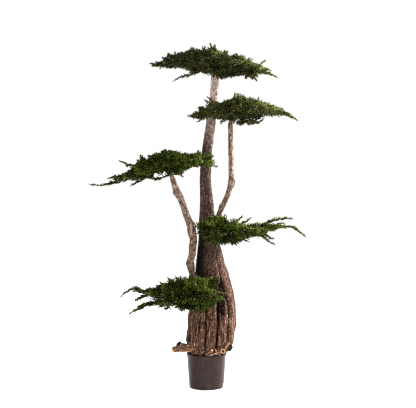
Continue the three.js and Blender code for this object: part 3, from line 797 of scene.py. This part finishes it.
# Twigs: the wood inside the five flat pads of foliage. Each pad grows from one stem at a limb's end: leaders
# arch out of its heart to its tips, boughlets leave them for its surface, and side shoots feather its tails.
LEADERS_BETWEEN = 14
LEADER_OUT = (0.72, 0.95)
LEADER_STEPS = 18
LEADER_ARCH = 0.08
LEADER_GIRTH = (0.0062, 0.0012)
SWAY = 0.009 * np.array([0.3, 0.6, 1.0])
SWAY_SIZE = (0.06, 0.06, 0.06)
TIPS_APART = dict(crest=0.023, hem=0.029)
TIP_INSET = dict(crest=0.026, hem=0.014)
INSET_MOST = 0.3
TIP_SPREAD = (0.95, 1.04)
TIP_REACH = 0.95
TIP_LUCK = (-0.010, 0.006)
CLUMP_HEIGHT = 0.008
CLUMP_SIZE = (0.06, 0.06, 1)
CLUMP_SEED = 1.7
SPROUT_SHARE = 0.09
SPROUT_LENGTH = (0.006, 0.020)
SPROUT_RISE = 0.3
BOUGHLET_SAG = -0.08
BOUGHLET_STEPS = 7
BOUGHLET_GIRTH = (0.0026, 0.0008)
BOUGHLET_BACK = 0.035
BOUGHLET_NEAREST = 0.06
TAIL_FROM = 3
SHOOTS_EACH = 12
SHOOT_ENDS = (0.12, 0.95)
SHOOT_LENGTH = (0.046, 0.010)
SHOOT_LUCK = (0.7, 1.15)
SHOOT_LEAN = 0.45
SHOOT_LIFT = (-0.36, 0.36)
SHOOT_ARCH = 0.05
SHOOT_GIRTH = (0.0018, 0.0007)
SHOOT_SLIM = (1.2, 0.5)
FULL_TAIL = 0.22
SLIGHT_LEAST = 0.5
EDGE_SHARE = 0.16
EDGE_LEAST = 0.10
EDGE_LINE = 0.36
LOBES = 0.16
LOBE_SIZE = (0.45, 0.45, 1)
LOBE_SEED = 0.37
BEND_AT = 0.53
LIMB_MARGIN = 0.006
LIMB_STRIDE = 12
STEM_SIDES = 10
LEADER_SIDES = 6
TWIG_SIDES = 3
# Lengths are in millimetres. Reach is left, right, front and back of the heart, and a station of an outline
# is X, crest and hem. A tail is its tip's X, Y and Z, its arch in hundredths of its length, and the heart, 0,
# or the number of the fork that it leaves.
# A pad's first number after its greens lifts all its tints as painted light, and its last two lift them as
# painted light towards its top and towards its right.
PADS = {
    "top_pad": dict(
        heart=(45, 0, 1692), stem=(46, 0, 1600), girth=9, seed=11,
        greens="sunned", painted_pad_light=0.14, contrast=0.7, painted_top_light=0.45, painted_right_light=0.85,
        reach=(310, 280, 205, 200),
        forks=[(220, -20, 1660), (-190, 0, 1697)],
        outline=[(-292, 1700, 1686), (-225, 1702, 1682), (-180, 1728, 1682), (-130, 1757, 1678),
                 (-68, 1779, 1654), (0, 1764, 1656), (22, 1790, 1642), (42, 1790, 1630), (56, 1766, 1624),
                 (92, 1750, 1622), (130, 1738, 1634), (183, 1732, 1640), (246, 1698, 1640),
                 (312, 1680, 1650), (345, 1668, 1636)],
        tails=[(-293, -10, 1694, 5, 2), (-264, 30, 1709, 2, 2), (-281, -45, 1679, 5, 2),
               (368, -20, 1622, 14, 1), (308, 20, 1716, -18, 1), (330, -60, 1652, 8, 1),
               (345, 30, 1640, 10, 1), (256, -60, 1602, 10, 1), (-165, -50, 1602, 2, 0),
               (20, -20, 1796, 0, 0), (44, 0, 1793, 0, 0), (262, -80, 1618, 6, 1), (225, -100, 1612, 6, 1),
               (185, -120, 1618, 6, 1), (205, -50, 1618, 6, 1), (160, -80, 1622, 6, 1),
               (240, -30, 1616, 6, 1), (36, -48, 1624, 10, 0), (56, -54, 1616, 10, 0),
               (78, -44, 1613, 10, 0), (-60, 200, 1690, 8, 0), (170, 195, 1672, 8, 0),
               (90, -205, 1658, 8, 0)]),
    "upper_right_pad": dict(
        heart=(142, -46, 1444), stem=(125, -40, 1360), girth=9.5, seed=23,
        greens="sunned", painted_pad_light=0.18, contrast=0.65, painted_top_light=0.6, painted_right_light=0.3,
        reach=(225, 240, 180, 175),
        forks=[(325, -55, 1446), (188, -70, 1388)],
        outline=[(-88, 1420, 1410), (-36, 1440, 1398), (26, 1480, 1406), (89, 1496, 1396),
                 (150, 1524, 1396), (215, 1518, 1400), (262, 1508, 1410), (309, 1492, 1414),
                 (372, 1464, 1420), (435, 1432, 1402)],
        tails=[(466, -60, 1396, 10, 1), (452, -40, 1406, 10, 1), (446, -78, 1402, 8, 1),
               (430, -55, 1412, 8, 1), (438, -30, 1428, 8, 1), (400, 10, 1456, 8, 1),
               (385, -80, 1418, 5, 1), (-86, -85, 1412, 10, 0), (-60, -20, 1430, 8, 0),
               (148, -60, 1532, 0, 0), (6, -92, 1510, -14, 0), (240, -60, 1377, 0, 2),
               (16, -80, 1502, -6, 0), (-6, -85, 1492, -6, 0), (-44, -95, 1384, 10, 0),
               (162, -95, 1374, 5, 2), (190, -110, 1370, 5, 2), (214, -85, 1368, 4, 2),
               (176, -40, 1375, 5, 2), (228, -30, 1378, 5, 2), (258, -95, 1384, 0, 2),
               (292, -70, 1396, -22, 2), (130, -228, 1420, 8, 0), (240, 124, 1428, 8, 0),
               (60, 118, 1432, 8, 0)]),
    "middle_left_pad": dict(
        heart=(-195, -78, 1165), stem=(-172, -65, 1068), girth=8.5, seed=37,
        greens="fresh", painted_pad_light=0.13, contrast=0.85, painted_top_light=0.36, painted_right_light=0.3,
        reach=(275, 235, 180, 165),
        forks=[(-400, -85, 1106), (-345, -65, 1160), (-190, -70, 1112)],
        outline=[(-479, 1096, 1074), (-418, 1120, 1080), (-356, 1180, 1080), (-324, 1194, 1090),
                 (-286, 1218, 1096), (-262, 1234, 1124), (-214, 1242, 1130), (-190, 1242, 1110),
                 (-138, 1238, 1110), (-92, 1222, 1142), (-46, 1226, 1154), (0, 1200, 1154),
                 (46, 1180, 1150)],
        tails=[(-595, -80, 1060, -20, 1), (-530, -60, 1064, -15, 1), (-501, -110, 1090, 14, 1),
               (-470, -80, 1070, -5, 1), (-450, -50, 1182, -12, 2), (-385, -90, 1056, 0, 0),
               (56, -92, 1152, 8, 0), (-20, -88, 1218, -8, 0), (-300, -78, 1094, -10, 3),
               (-124, -75, 1102, 0, 0), (-240, -250, 1122, 8, 0), (-290, 90, 1122, 8, 0),
               (-90, 88, 1166, 8, 0)]),
    "lower_right_pad": dict(
        heart=(100, -118, 832), stem=(30, -12, 800), girth=11, seed=41,
        greens="fresh", painted_pad_light=0.08, contrast=0.9, painted_top_light=0.45, painted_right_light=0.2,
        reach=(148, 215, 135, 150),
        forks=[(240, -105, 826), (400, -108, 842), (235, -120, 808)],
        outline=[(-46, 862, 808), (-14, 890, 768), (46, 910, 757), (107, 880, 752), (169, 870, 758),
                 (205, 852, 786), (260, 850, 794), (320, 862, 808)],
        tails=[(504, -110, 793, 30, 2), (438, -90, 883, 20, 1), (395, -120, 862, 5, 1),
               (450, -75, 840, 8, 1), (400, -140, 838, 6, 1), (380, -60, 852, 3, 1),
               (346, -130, 754, 14, 3), (337, -140, 784, 6, 1), (340, -50, 830, 5, 1),
               (212, -120, 768, 5, 0), (150, -150, 754, 2, 0), (183, -90, 897, -12, 0),
               (226, -100, 886, -10, 0), (-43, -130, 853, 5, 0), (60, -258, 802, 5, 0),
               (206, 36, 850, 5, 0)]),
    "lower_left_pad": dict(
        heart=(-70, -165, 505), stem=(-10, -50, 496), girth=11, seed=53,
        greens="fresh", painted_pad_light=0.06, contrast=0.9, painted_top_light=0.3, painted_right_light=0.0,
        reach=(262, 134, 152, 130),
        forks=[(-280, -150, 505), (-268, -165, 452)],
        outline=[(-340, 526, 452), (-288, 546, 436), (-227, 560, 437), (-160, 592, 434), (-106, 600, 422),
                 (-45, 594, 416), (15, 584, 434), (62, 598, 454), (102, 560, 488)],
        tails=[(-434, -140, 487, 46, 1), (-372, -120, 512, 20, 1), (-356, -190, 474, 10, 1),
               (-390, -160, 402, 14, 2), (-366, -110, 409, 10, 2), (-345, -150, 438, 6, 2),
               (102, -175, 512, 5, 0), (-154, -130, 585, -14, 0), (-192, -150, 580, -14, 0),
               (-235, -140, 560, -10, 0), (-40, -320, 446, 5, 0), (-186, 6, 520, 5, 0),
               (-300, -56, 512, 5, 0)]),
}
for pad in PADS.values():
    for size in ("heart", "stem", "girth", "reach", "forks", "outline"):
        pad[size] = np.array(pad[size]) / 1000


def pad_reach(pad, angles):
    """How far a pad reaches at angles from +X: four quarter ellipses of its left, right, front and back, with
    lobes and bays of about a sixth of that along them."""
    left, right, front, back = pad["reach"]
    x, y = np.cos(angles), np.sin(angles)
    across = np.where(x > 0, right, left)
    deep = np.where(y > 0, back, front)
    lobes = 1 + LOBES * noise(polar(1, angles, pad["seed"] * LOBE_SEED), LOBE_SIZE) * np.abs(y)
    return lobes * across * deep / np.hypot(deep * x, across * y)


def pad_space(pad, points):
    """The hem and the crest of a pad at points: its outline gives both along X, and towards its front and
    back edge they draw in by (1 - v^2)^0.75 of the share v of the way, to a line a third of the way up."""
    left, right, front, back = pad["reach"]
    x, y = np.moveaxis(points[..., :2] - pad["heart"][:2], -1, 0)
    across = x / np.where(x > 0, right, left)
    deep = y / np.where(y > 0, back, front)
    share = np.clip(deep**2 / np.maximum(1 - across**2, EDGE_LEAST), 0, 1)
    swell = np.maximum((1 - share) ** 0.75, EDGE_SHARE)
    stations, crests, hems = pad["outline"].T
    crest, hem = (np.interp(points[..., 0], stations, levels) for levels in (crests, hems))
    middle = EDGE_LINE * crest + (1 - EDGE_LINE) * hem
    return middle + (hem - middle) * swell, middle + (crest - middle) * swell


def arching_paths(starts, ends, arch, steps):
    """Curves (1 - t)^2 start + 2 t (1 - t) bend + t^2 end. The bend lies just past the middle of the way,
    raised by an arch, a share of the way's length: with a negative arch a run goes out, then rises."""
    run = ends - starts
    rise = np.linalg.norm(run, axis=-1) * arch
    bends = starts + BEND_AT * run + rise[:, None] * UP
    t = np.linspace(0, 1, steps)[:, None]
    return (1 - t) ** 2 * starts[:, None] + 2 * t * (1 - t) * bends[:, None] + t**2 * ends[:, None]


def clear_of_limbs(points):
    """Which points lie outside the trunk and boughs by the margin."""
    middle, radius = trunk_level(points[..., 2])
    gap = np.linalg.norm(points[..., :2] - middle, axis=-1) - radius
    clear = (gap > LIMB_MARGIN) | (points[..., 2] > TRUNK_LEVELS[-1, 0])
    for path, girth in limb_paths:
        away = np.linalg.norm(points[..., None, :] - path[::LIMB_STRIDE], axis=-1) - girth[::LIMB_STRIDE]
        clear &= away.min(axis=-1) > LIMB_MARGIN
    return clear


def inside(points, name, slack=0.0):
    """Which points lie in the box of a pad's node, with some slack."""
    low, high = (np.array(corner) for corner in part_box(name))
    return np.all((points > low - slack) & (points < high + slack), axis=-1)


def surface_tips(pad, dice, surface):
    """Tips a distance apart over a pad's crest or its hem, on a sunflower spiral and a little inside it;
    broad noise, at a level that the pad's seed gives, lifts and sinks them in clumps."""
    left, right, front, back = pad["reach"]
    count = round(np.pi * (left + right) * (front + back) / 4 / TIPS_APART[surface] ** 2)
    number = np.arange(count)
    share = np.sqrt((number + 0.5) / count) * dice.uniform(*TIP_SPREAD, count)
    angle = number * GOLDEN_ANGLE + dice.uniform(0, 2 * np.pi)
    out = pad_reach(pad, angle) * share * TIP_REACH
    flat = polar(out, angle, pad["seed"] * CLUMP_SEED)
    tips = flat + pad["heart"]
    hem, crest = pad_space(pad, tips)
    inset = np.minimum(TIP_INSET[surface], INSET_MOST * (crest - hem))
    level = crest - inset if surface == "crest" else hem + inset
    tips[:, 2] = level + CLUMP_HEIGHT * noise(flat, CLUMP_SIZE) + dice.uniform(*TIP_LUCK, count)
    return tips


def boughlet_starts(leaders, tips, heart):
    """Where each boughlet leaves a leader: at the nearest of the leaders' points, past their first two, that
    lie 35 mm nearer to the heart, seen from above, than its tip; what is short of that counts 10 times."""
    spots = leaders[:, 2:].reshape(-1, 3)
    tip_reach = np.maximum(np.linalg.norm(tips[:, :2] - heart[:2], axis=-1), BOUGHLET_NEAREST)
    spot_reach = np.linalg.norm(spots[:, :2] - heart[:2], axis=-1)
    away = np.linalg.norm(tips[:, None] - spots[None], axis=-1)
    away = away + 10 * np.maximum(0, spot_reach[None] + BOUGHLET_BACK - tip_reach[:, None])
    return spots[np.argmin(away, axis=1)]


def blend(ends, share):
    """The value a share of the way from the first to the second of two ends."""
    return ends[0] + (ends[1] - ends[0]) * share


def side_shoots(tails, dice):
    """Shoots that leave each tail alternately left and right, leaning well forward, shorter towards its tip
    and on a short tail: their starts and ends, how slim their sprays are, and how slim the tails' own are."""
    share = np.linspace(*SHOOT_ENDS, SHOOTS_EACH)
    each = (len(tails), SHOOTS_EACH, 1)
    run = np.linalg.norm(tails[:, -1] - tails[:, 0], axis=-1)
    slight = np.clip(run / FULL_TAIL, SLIGHT_LEAST, 1)[:, None]
    place = np.round(share * (tails.shape[1] - 1)).astype(int)
    tangents, side, up = (direction[:, place] for direction in path_frames(tails))
    turn = np.where(np.arange(SHOOTS_EACH) % 2 == 0, 1, -1)[None, :, None]
    ways = unit(tangents + SHOOT_LEAN * turn * side + dice.uniform(*SHOOT_LIFT, each) * up)
    length = slight * blend(SHOOT_LENGTH, share)
    starts = tails[:, place]
    ends = starts + ways * length[..., None] * dice.uniform(*SHOOT_LUCK, each)
    slim = np.sqrt(slight) * blend(SHOOT_SLIM, share)
    return starts.reshape(-1, 3), ends.reshape(-1, 3), slim.reshape(-1), np.sqrt(slight)[:, 0]


def grow_leaders(pad, dice):
    """A pad's leaders: arching paths from its heart or a fork to the tips of its tails, and from its heart to
    points all round within its reach and to its forks, swaying a little by noise."""
    heart = pad["heart"]
    hubs = np.concatenate([heart[None], pad["forks"]])
    angles = np.arange(LEADERS_BETWEEN) * GOLDEN_ANGLE + pad["seed"]
    out = pad_reach(pad, angles) * dice.uniform(*LEADER_OUT, LEADERS_BETWEEN)
    around = heart + polar(out, angles, 0)
    around[:, 2] = np.mean(pad_space(pad, around), axis=0)
    tails = np.array(pad["tails"])
    ends = np.concatenate([tails[:, :3] / 1000, around, pad["forks"]])
    inner = len(ends) - len(tails)
    starts = np.concatenate([hubs[tails[:, 4].astype(int)], np.repeat(heart[None], inner, axis=0)])
    arches = np.append(tails[:, 3] / 100, np.full(inner, LEADER_ARCH))
    leaders = arching_paths(starts, ends, arches, LEADER_STEPS)
    sway = noise(leaders + pad["seed"], SWAY_SIZE) * np.sin(np.linspace(0, np.pi, LEADER_STEPS))
    return leaders + SWAY * sway[..., None]


def grow_twigs(name, pad):
    """The paths of one pad's leaders, boughlets and side shoots, which boughlets sprout past its surface, and
    how slim each shoot's and leader's sprays are. What leaves the pad's box or meets a limb is left out."""
    dice = np.random.default_rng(pad["seed"])
    leaders = grow_leaders(pad, dice)
    tips = np.concatenate([surface_tips(pad, dice, surface) for surface in ("crest", "hem")])
    sprouting = dice.uniform(0, 1, len(tips)) < SPROUT_SHARE
    sprouts = unit(unit(tips - pad["heart"]) + SPROUT_RISE * UP)
    sprouts = sprouts * dice.uniform(*SPROUT_LENGTH, (len(tips), 1))
    tips = tips + np.where(sprouting[:, None], sprouts, 0)
    kept = clear_of_limbs(tips) & inside(tips, name)
    tips, sprouting = tips[kept], sprouting[kept]
    starts = boughlet_starts(leaders, tips, pad["heart"])
    boughlets = arching_paths(starts, tips, BOUGHLET_SAG, BOUGHLET_STEPS)
    starts, ends, slim, slight = side_shoots(leaders[:, TAIL_FROM:], dice)
    kept = clear_of_limbs(ends) & inside(ends, name)
    shoots = arching_paths(starts[kept], ends[kept], SHOOT_ARCH, BOUGHLET_STEPS)
    return leaders, boughlets, sprouting, shoots, slim[kept], slight


def twig_tubes(paths, girths, columns):
    """Tapering tubes along paths, closed at their ends."""
    radii = np.linspace(*girths, paths.shape[1])[:, None, None]
    return closed_tubes(paths[:, :, None] + radii * ring_spread(*path_frames(paths)[1:], columns))


twig_bark = new_material("twig_bark", specular=0.2)
streaks = add_noise(twig_bark, 0.012, detail=6)
colour = add_ramp(twig_bark, streaks, (0.38, 40, 33, 20), (0.52, 70, 58, 36), (0.64, 112, 96, 66))
finish_material(twig_bark, colour, roughness=0.85, height=streaks, depth=0.001)

pad_twigs = {name: grow_twigs(name, pad) for name, pad in PADS.items()}
for name, (leaders, boughlets, _, shoots, _, _) in pad_twigs.items():
    stem = smooth_path([PADS[name]["stem"], PADS[name]["heart"]], LEADER_STEPS)[None]
    parts = [twig_tubes(stem, (PADS[name]["girth"], LEADER_GIRTH[0]), STEM_SIDES),
             twig_tubes(leaders, LEADER_GIRTH, LEADER_SIDES),
             twig_tubes(boughlets, BOUGHLET_GIRTH, TWIG_SIDES), twig_tubes(shoots, SHOOT_GIRTH, TWIG_SIDES)]
    counts = np.cumsum([0] + [len(points) for points, _ in parts[:-1]])
    faces = [face + count for (_, sets), count in zip(parts, counts) for face in sets]
    twigs = mesh_piece(name + "_twigs", np.concatenate([points for points, _ in parts]), faces, twig_bark)
    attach(twigs, "root")
    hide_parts(name)

# Needles: the evergreen's short scaly shoots, in sprays all along the twigs. Three greens, an olive for dry
# sprays and an ochre for one dead tuft are dealt out spray by spray, and each tint of a pad is one piece.
# Each needle is a small closed kite, folded along its length.
BOUGHLET_SPRAYS = dict(count=8, first=0.35, lengths=(0.026, 0.040), flare=40, lift=0.25, taper=0.3)
SHOOT_SPRAYS = dict(count=5, first=0.25, lengths=(0.017, 0.026), flare=34, lift=0.1, taper=0.4)
TAIL_SPRAYS = dict(count=24, first=0.1, lengths=(0.018, 0.026), flare=30, lift=0.1, taper=0.5)
LEAN_LUCK = (0.75, 1.2)
LEAN_LAST = 0.15
SPRAY_LUCK = (-0.13, 0.13)
RAGGED = (-0.007, 0.005)
BOX_SLACK = 0.008
NEEDLE_DICE = 100
NEEDLES_EACH = 6
NEEDLE_FEET = (0.06, 0.86)
NEEDLE_LEAN = (32, 12)
NEEDLE_SIZE = (0.76, 0.50)
NEEDLE_LUCK = (0.8, 1.2)
NEEDLE_GIRTH = (0.0027, 0.0038)
NEEDLE_BELLY = 0.48
NEEDLE_FOLD = 64
NEEDLE_POINTS = 4
FULL_SPRAY = 0.026
STOUT_LEAST = 0.4
UPRIGHT_SPRAY = 0.85
TAIL_SPREAD = 0.6
# Painted backlight on the tails, and towards each twig's end painted backlight with the tips' own paler
# green.
TAIL_BACKLIGHT = 0.34
OUTER_PALE_AND_BACKLIGHT = 0.5
OUTER_EVEN = 0.7
PATCH_GLOW = 0.38
PATCH_SIZE = (0.04, 0.04, 0.03)
TINT_LIMITS = (0.44, 0.86)
DRY_SHARE = 0.004
DRY_TAILS = 0.2
DRY_NUMBER = 3
DEAD_NUMBER = 4
DEAD_PAD = "middle_left_pad"
DEAD_PLACE = np.array([-0.124, -0.080, 1.104])
DEAD_SIZE = 0.022
TINTS = {
    "sunned": {
        "deep": [(45, 46, 27), (63, 64, 39)],
        "mid": [(62, 67, 29), (84, 88, 45)],
        "bright": [(88, 95, 42), (120, 123, 68)],
        "dry": [(96, 88, 42), (130, 118, 68)],
    },
    "fresh": {
        "deep": [(31, 37, 8), (47, 55, 13)],
        "mid": [(52, 66, 13), (72, 86, 24)],
        "bright": [(83, 98, 27), (114, 124, 49)],
        "dry": [(86, 82, 32), (118, 108, 54)],
        "dead": [(150, 108, 48), (196, 150, 84)],
    },
}


def leaf_material(name, first, second):
    """Needles: one plain colour, with a slight drift to a second along the pad, and a waxy, uneven gloss."""
    material = new_material(name, specular=0.06)
    drift = add_noise(material, 0.03, detail=3)
    wax = add_noise(material, 0.004, detail=2)
    colour = add_ramp(material, drift, (0.40, *first), (0.62, *second))
    gloss = add_ramp(material, wax, (0.3, 0.42), (0.7, 0.6))
    finish_material(material, colour, roughness=gloss, height=wax, depth=0.0004)
    return material


def sprays_on(paths, dice, count, first, lengths, flare, lift, taper, slim=1.0):
    """Sprays along paths: they leave at golden angles round each path from a share of its way to its end,
    leaning out by a flare that narrows by half to the tip and lifted a little, and the last one goes straight
    on. Their sizes fall from 1.1 by a taper along each path, and are less on a slim one. The last values are
    how far along the path each is and its luck, which it mostly shares with the others on its path."""
    number = np.arange(count)
    share = first + (1 - first) * (number + 0.5) / count
    share[-1] = 1.0
    place = share * (paths.shape[1] - 1)
    low = np.minimum(place.astype(int), paths.shape[1] - 2)
    part = (place - low)[None, :, None]
    tangents, side, up = (direction[:, low] for direction in path_frames(paths))
    roots = paths[:, low] * (1 - part) + paths[:, low + 1] * part
    turn = (number * GOLDEN_ANGLE + dice.uniform(0, 2 * np.pi, (len(paths), 1)))[..., None]
    lean = np.radians(flare) * (1 - 0.5 * share) * dice.uniform(*LEAN_LUCK, (len(paths), count))
    lean[:, -1] *= LEAN_LAST
    out = side * np.cos(turn) + up * np.sin(turn)
    ways = tangents * np.cos(lean)[..., None] + out * np.sin(lean)[..., None]
    ways = unit(ways + lift * UP)
    sizes = dice.uniform(*lengths, (len(paths), count)) * (1.1 - taper * share) * np.reshape(slim, (-1, 1))
    outer = np.broadcast_to(share, sizes.shape)
    luck = dice.uniform(0, 1, (len(paths), 1)) + dice.uniform(*SPRAY_LUCK, sizes.shape)
    return roots.reshape(-1, 3), ways.reshape(-1, 3), sizes.reshape(-1), outer.reshape(-1), luck.reshape(-1)


def pad_sprays(name, dice):
    """All the sprays of a pad, on its boughlets, shoots and tails, that end within its ragged surface or are
    free of it, as those that sprout and all on shoots and tails are, and that keep clear of the limbs. Gives
    their roots, ways, sizes, how far along a path they are, luck, tips and which are on shoots or tails."""
    leaders, boughlets, sprouting, shoots, slim, slight = pad_twigs[name]
    groups = [sprays_on(boughlets, dice, **BOUGHLET_SPRAYS),
              sprays_on(shoots, dice, **SHOOT_SPRAYS, slim=slim),
              sprays_on(leaders[:, TAIL_FROM:], dice, **TAIL_SPRAYS, slim=slight)]
    roots, ways, sizes, outer, luck = (np.concatenate(values) for values in zip(*groups))
    tips = roots + ways * sizes[:, None]
    hem, crest = pad_space(PADS[name], tips)
    ragged = dice.uniform(*RAGGED, len(tips))
    inner = np.repeat(sprouting, BOUGHLET_SPRAYS["count"])
    tail = np.arange(len(tips)) >= len(inner)
    free = np.append(inner, tail[len(inner):])
    kept = free | ((tips[:, 2] > hem - ragged) & (tips[:, 2] < crest + ragged))
    kept &= clear_of_limbs(tips) & inside(tips, name, BOX_SLACK)
    return [values[kept] for values in (roots, ways, sizes, outer, luck, tips, tail)]


def deal_tints(name, dice, roots, outer, luck, tips, tail):
    """The number of each spray's tint, which rises with its luck: luck is spread by the pad's contrast and by
    broad patches, and raised by painted light over the whole pad, high up and to the right, by painted
    backlight on tails, and by paler tips with painted backlight towards a twig's end. A few sprays are dry,
    mostly at the ends of tails, and one tuft is dead."""
    pad = PADS[name]
    low, high = (np.array(corner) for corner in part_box(name))
    side, _, level = ((roots - low) / (high - low) - 0.5).T
    # Painted light raises luck over the whole pad, high up and to the right; painted backlight raises it on
    # tails, and towards twig ends together with the tips' own paler green.
    luck = 0.5 + pad["contrast"] * (luck - 0.5) + OUTER_PALE_AND_BACKLIGHT * (outer - OUTER_EVEN)
    luck = luck + PATCH_GLOW * noise(roots, PATCH_SIZE) + pad["painted_top_light"] * level + pad["painted_right_light"] * side
    dealt = np.digitize(luck + pad["painted_pad_light"] + TAIL_BACKLIGHT * tail, TINT_LIMITS)
    dealt[dice.uniform(0, 1, len(roots)) < DRY_SHARE + DRY_TAILS * tail * outer] = DRY_NUMBER
    if name == DEAD_PAD:
        dealt[np.linalg.norm(tips - DEAD_PLACE, axis=-1) < DEAD_SIZE] = DEAD_NUMBER
    return dealt


def needle_points(roots, ways, sizes, spread, dice):
    """Sprays of needles: an axis and needles at golden angles along it, leaning out by a spread of 32 degrees
    at the foot and 12 at the tip. A needle is its foot, two points that are folded up at the sides of its
    belly and its tip, in one array."""
    each = (len(roots), NEEDLES_EACH + 1)
    ways, sizes = ways[:, None], sizes[:, None]
    side = unit(np.cross(ways, square_guide(ways, UPRIGHT_SPRAY)))
    up = np.cross(ways, side)
    number = np.arange(NEEDLES_EACH)
    share = np.append(blend(NEEDLE_FEET, number / NEEDLES_EACH), 0.0)[:, None]
    lean = np.radians(np.append(np.linspace(*NEEDLE_LEAN, NEEDLES_EACH), 0.0) * spread[:, None])[..., None]
    size = np.append(np.linspace(*NEEDLE_SIZE, NEEDLES_EACH), 1.0)
    turn = (np.append(number * GOLDEN_ANGLE, 0.0) + dice.uniform(0, 2 * np.pi, (len(roots), 1)))[..., None]
    out = side * np.cos(turn) + up * np.sin(turn)
    round_about = up * np.cos(turn) - side * np.sin(turn)
    needles = ways * np.cos(lean) + out * np.sin(lean)
    feet = roots[:, None] + ways * share * sizes[..., None]
    lengths = (size * sizes * dice.uniform(*NEEDLE_LUCK, each))[..., None]
    girths = np.clip(sizes / FULL_SPRAY, STOUT_LEAST, 1) * dice.uniform(*NEEDLE_GIRTH, each)
    fold = np.radians([-NEEDLE_FOLD, NEEDLE_FOLD])[:, None]
    folded = round_about[:, :, None] * np.cos(fold)
    folded = folded + np.cross(needles, round_about)[:, :, None] * np.sin(fold)
    belly = (feet + NEEDLE_BELLY * lengths * needles)[:, :, None] + girths[..., None, None] * folded
    return np.concatenate([feet[:, :, None], belly, (feet + needles * lengths)[:, :, None]], axis=2)


def needle_faces(count):
    """The four faces of each of many needles: two inside the fold, between the sides, and two under it."""
    sides = np.array([(0, 2, 1), (1, 2, 3), (0, 1, 3), (0, 3, 2)])
    return (sides + NEEDLE_POINTS * np.arange(count)[:, None, None]).reshape(-1, 3)


needle_paints = {
    family: {tint: leaf_material(f"needles_{family}_{tint}", *colours) for tint, colours in tints.items()}
    for family, tints in TINTS.items()}
for name, pad in PADS.items():
    dice = np.random.default_rng(pad["seed"] + NEEDLE_DICE)
    roots, ways, sizes, outer, luck, tips, tail = pad_sprays(name, dice)
    dealt = deal_tints(name, dice, roots, outer, luck, tips, tail)
    points = needle_points(roots, ways, sizes, np.where(tail, TAIL_SPREAD, 1.0), dice)
    for number, (tint, paint) in enumerate(needle_paints[pad["greens"]].items()):
        chosen = points[dealt == number].reshape(-1, 3)
        if len(chosen) == 0:
            continue
        faces = needle_faces(len(chosen) // NEEDLE_POINTS)
        needles = mesh_piece(f"{name}_needles_{tint}", chosen, [faces], paint)
        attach(needles, "root")
        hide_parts(name)

# Stage: a plain white floor and surround, a soft key light from the right, weak ones from the front and from
# the left behind the tree, and the level camera that looks along +Y at about half the tree's height.
FLOOR_HALF = 30.0
FLOOR_GLOW = 0.66
WHITE = (1.0, 1.0, 1.0, 1.0)
SURROUND_LIGHT = 0.38
LIGHT_TARGET = (0.0, 0.0, 0.9)
LIGHTS = {
    "key_light": dict(place=(3.1, 1.1, 2.7), size=1.2, power=420),
    "front_light": dict(place=(1.4, -3.8, 2.6), size=1.6, power=70),
    "left_light": dict(place=(-3.0, 2.4, 2.2), size=1.4, power=80),
}
CAMERA_PLACE = (0.0079, -4.55, 0.96)
CAMERA_LENS = 75
CAMERA_SENSOR = 36
PIXEL_FILTER = 1.2

floor_paint = new_material("floor_paint", specular=0.0)
cloud = add_noise(floor_paint, 0.8, detail=2)
pale = add_ramp(floor_paint, cloud, (0.3, 0.90), (0.7, 0.93))
finish_material(floor_paint, pale, roughness=0.9, height=cloud, depth=0.0001)
floor_shader = floor_paint.node_tree.nodes["Principled BSDF"]
floor_shader.inputs["Emission Color"].default_value = WHITE
floor_shader.inputs["Emission Strength"].default_value = FLOOR_GLOW
floor_paint.cycles.emission_sampling = "NONE"
floor_points = FLOOR_HALF * np.array([(-1, -1, 0), (1, -1, 0), (1, 1, 0), (-1, 1, 0)])
floor = mesh_piece("floor", floor_points, [np.array([(0, 1, 2, 3)])], floor_paint, smooth=False)

scene = bpy.context.scene
world = bpy.data.worlds.new("white_surround")
scene.world = world
world.use_nodes = True
world.cycles.sampling_method = "NONE"
surround = world.node_tree.nodes["Background"]
surround.inputs["Color"].default_value = WHITE
seen = add_node(world, "LightPath").outputs["Is Camera Ray"]
strength = add_node(world, "MapRange", Value=seen, To_Min=SURROUND_LIGHT, To_Max=1.0).outputs[0]
join(world, strength, surround.inputs["Strength"])

for name, light in LIGHTS.items():
    lamp = bpy.data.lights.new(name, "AREA")
    lamp.size = light["size"]
    lamp.energy = light["power"]
    lamp_piece = bpy.data.objects.new(name, lamp)
    lamp_piece.location = light["place"]
    facing = Vector(LIGHT_TARGET) - Vector(light["place"])
    lamp_piece.rotation_euler = facing.to_track_quat("-Z", "Y").to_euler()
    scene.collection.objects.link(lamp_piece)

lens = bpy.data.cameras.new("camera")
lens.lens = CAMERA_LENS
lens.sensor_width = CAMERA_SENSOR
lens.sensor_fit = "HORIZONTAL"
camera = bpy.data.objects.new("camera", lens)
camera.location = CAMERA_PLACE
camera.rotation_euler = (np.pi / 2, 0, 0)
scene.collection.objects.link(camera)
scene.camera = camera
scene.view_settings.view_transform = "Standard"
scene.cycles.filter_width = PIXEL_FILTER
scene.cycles.use_denoising = False
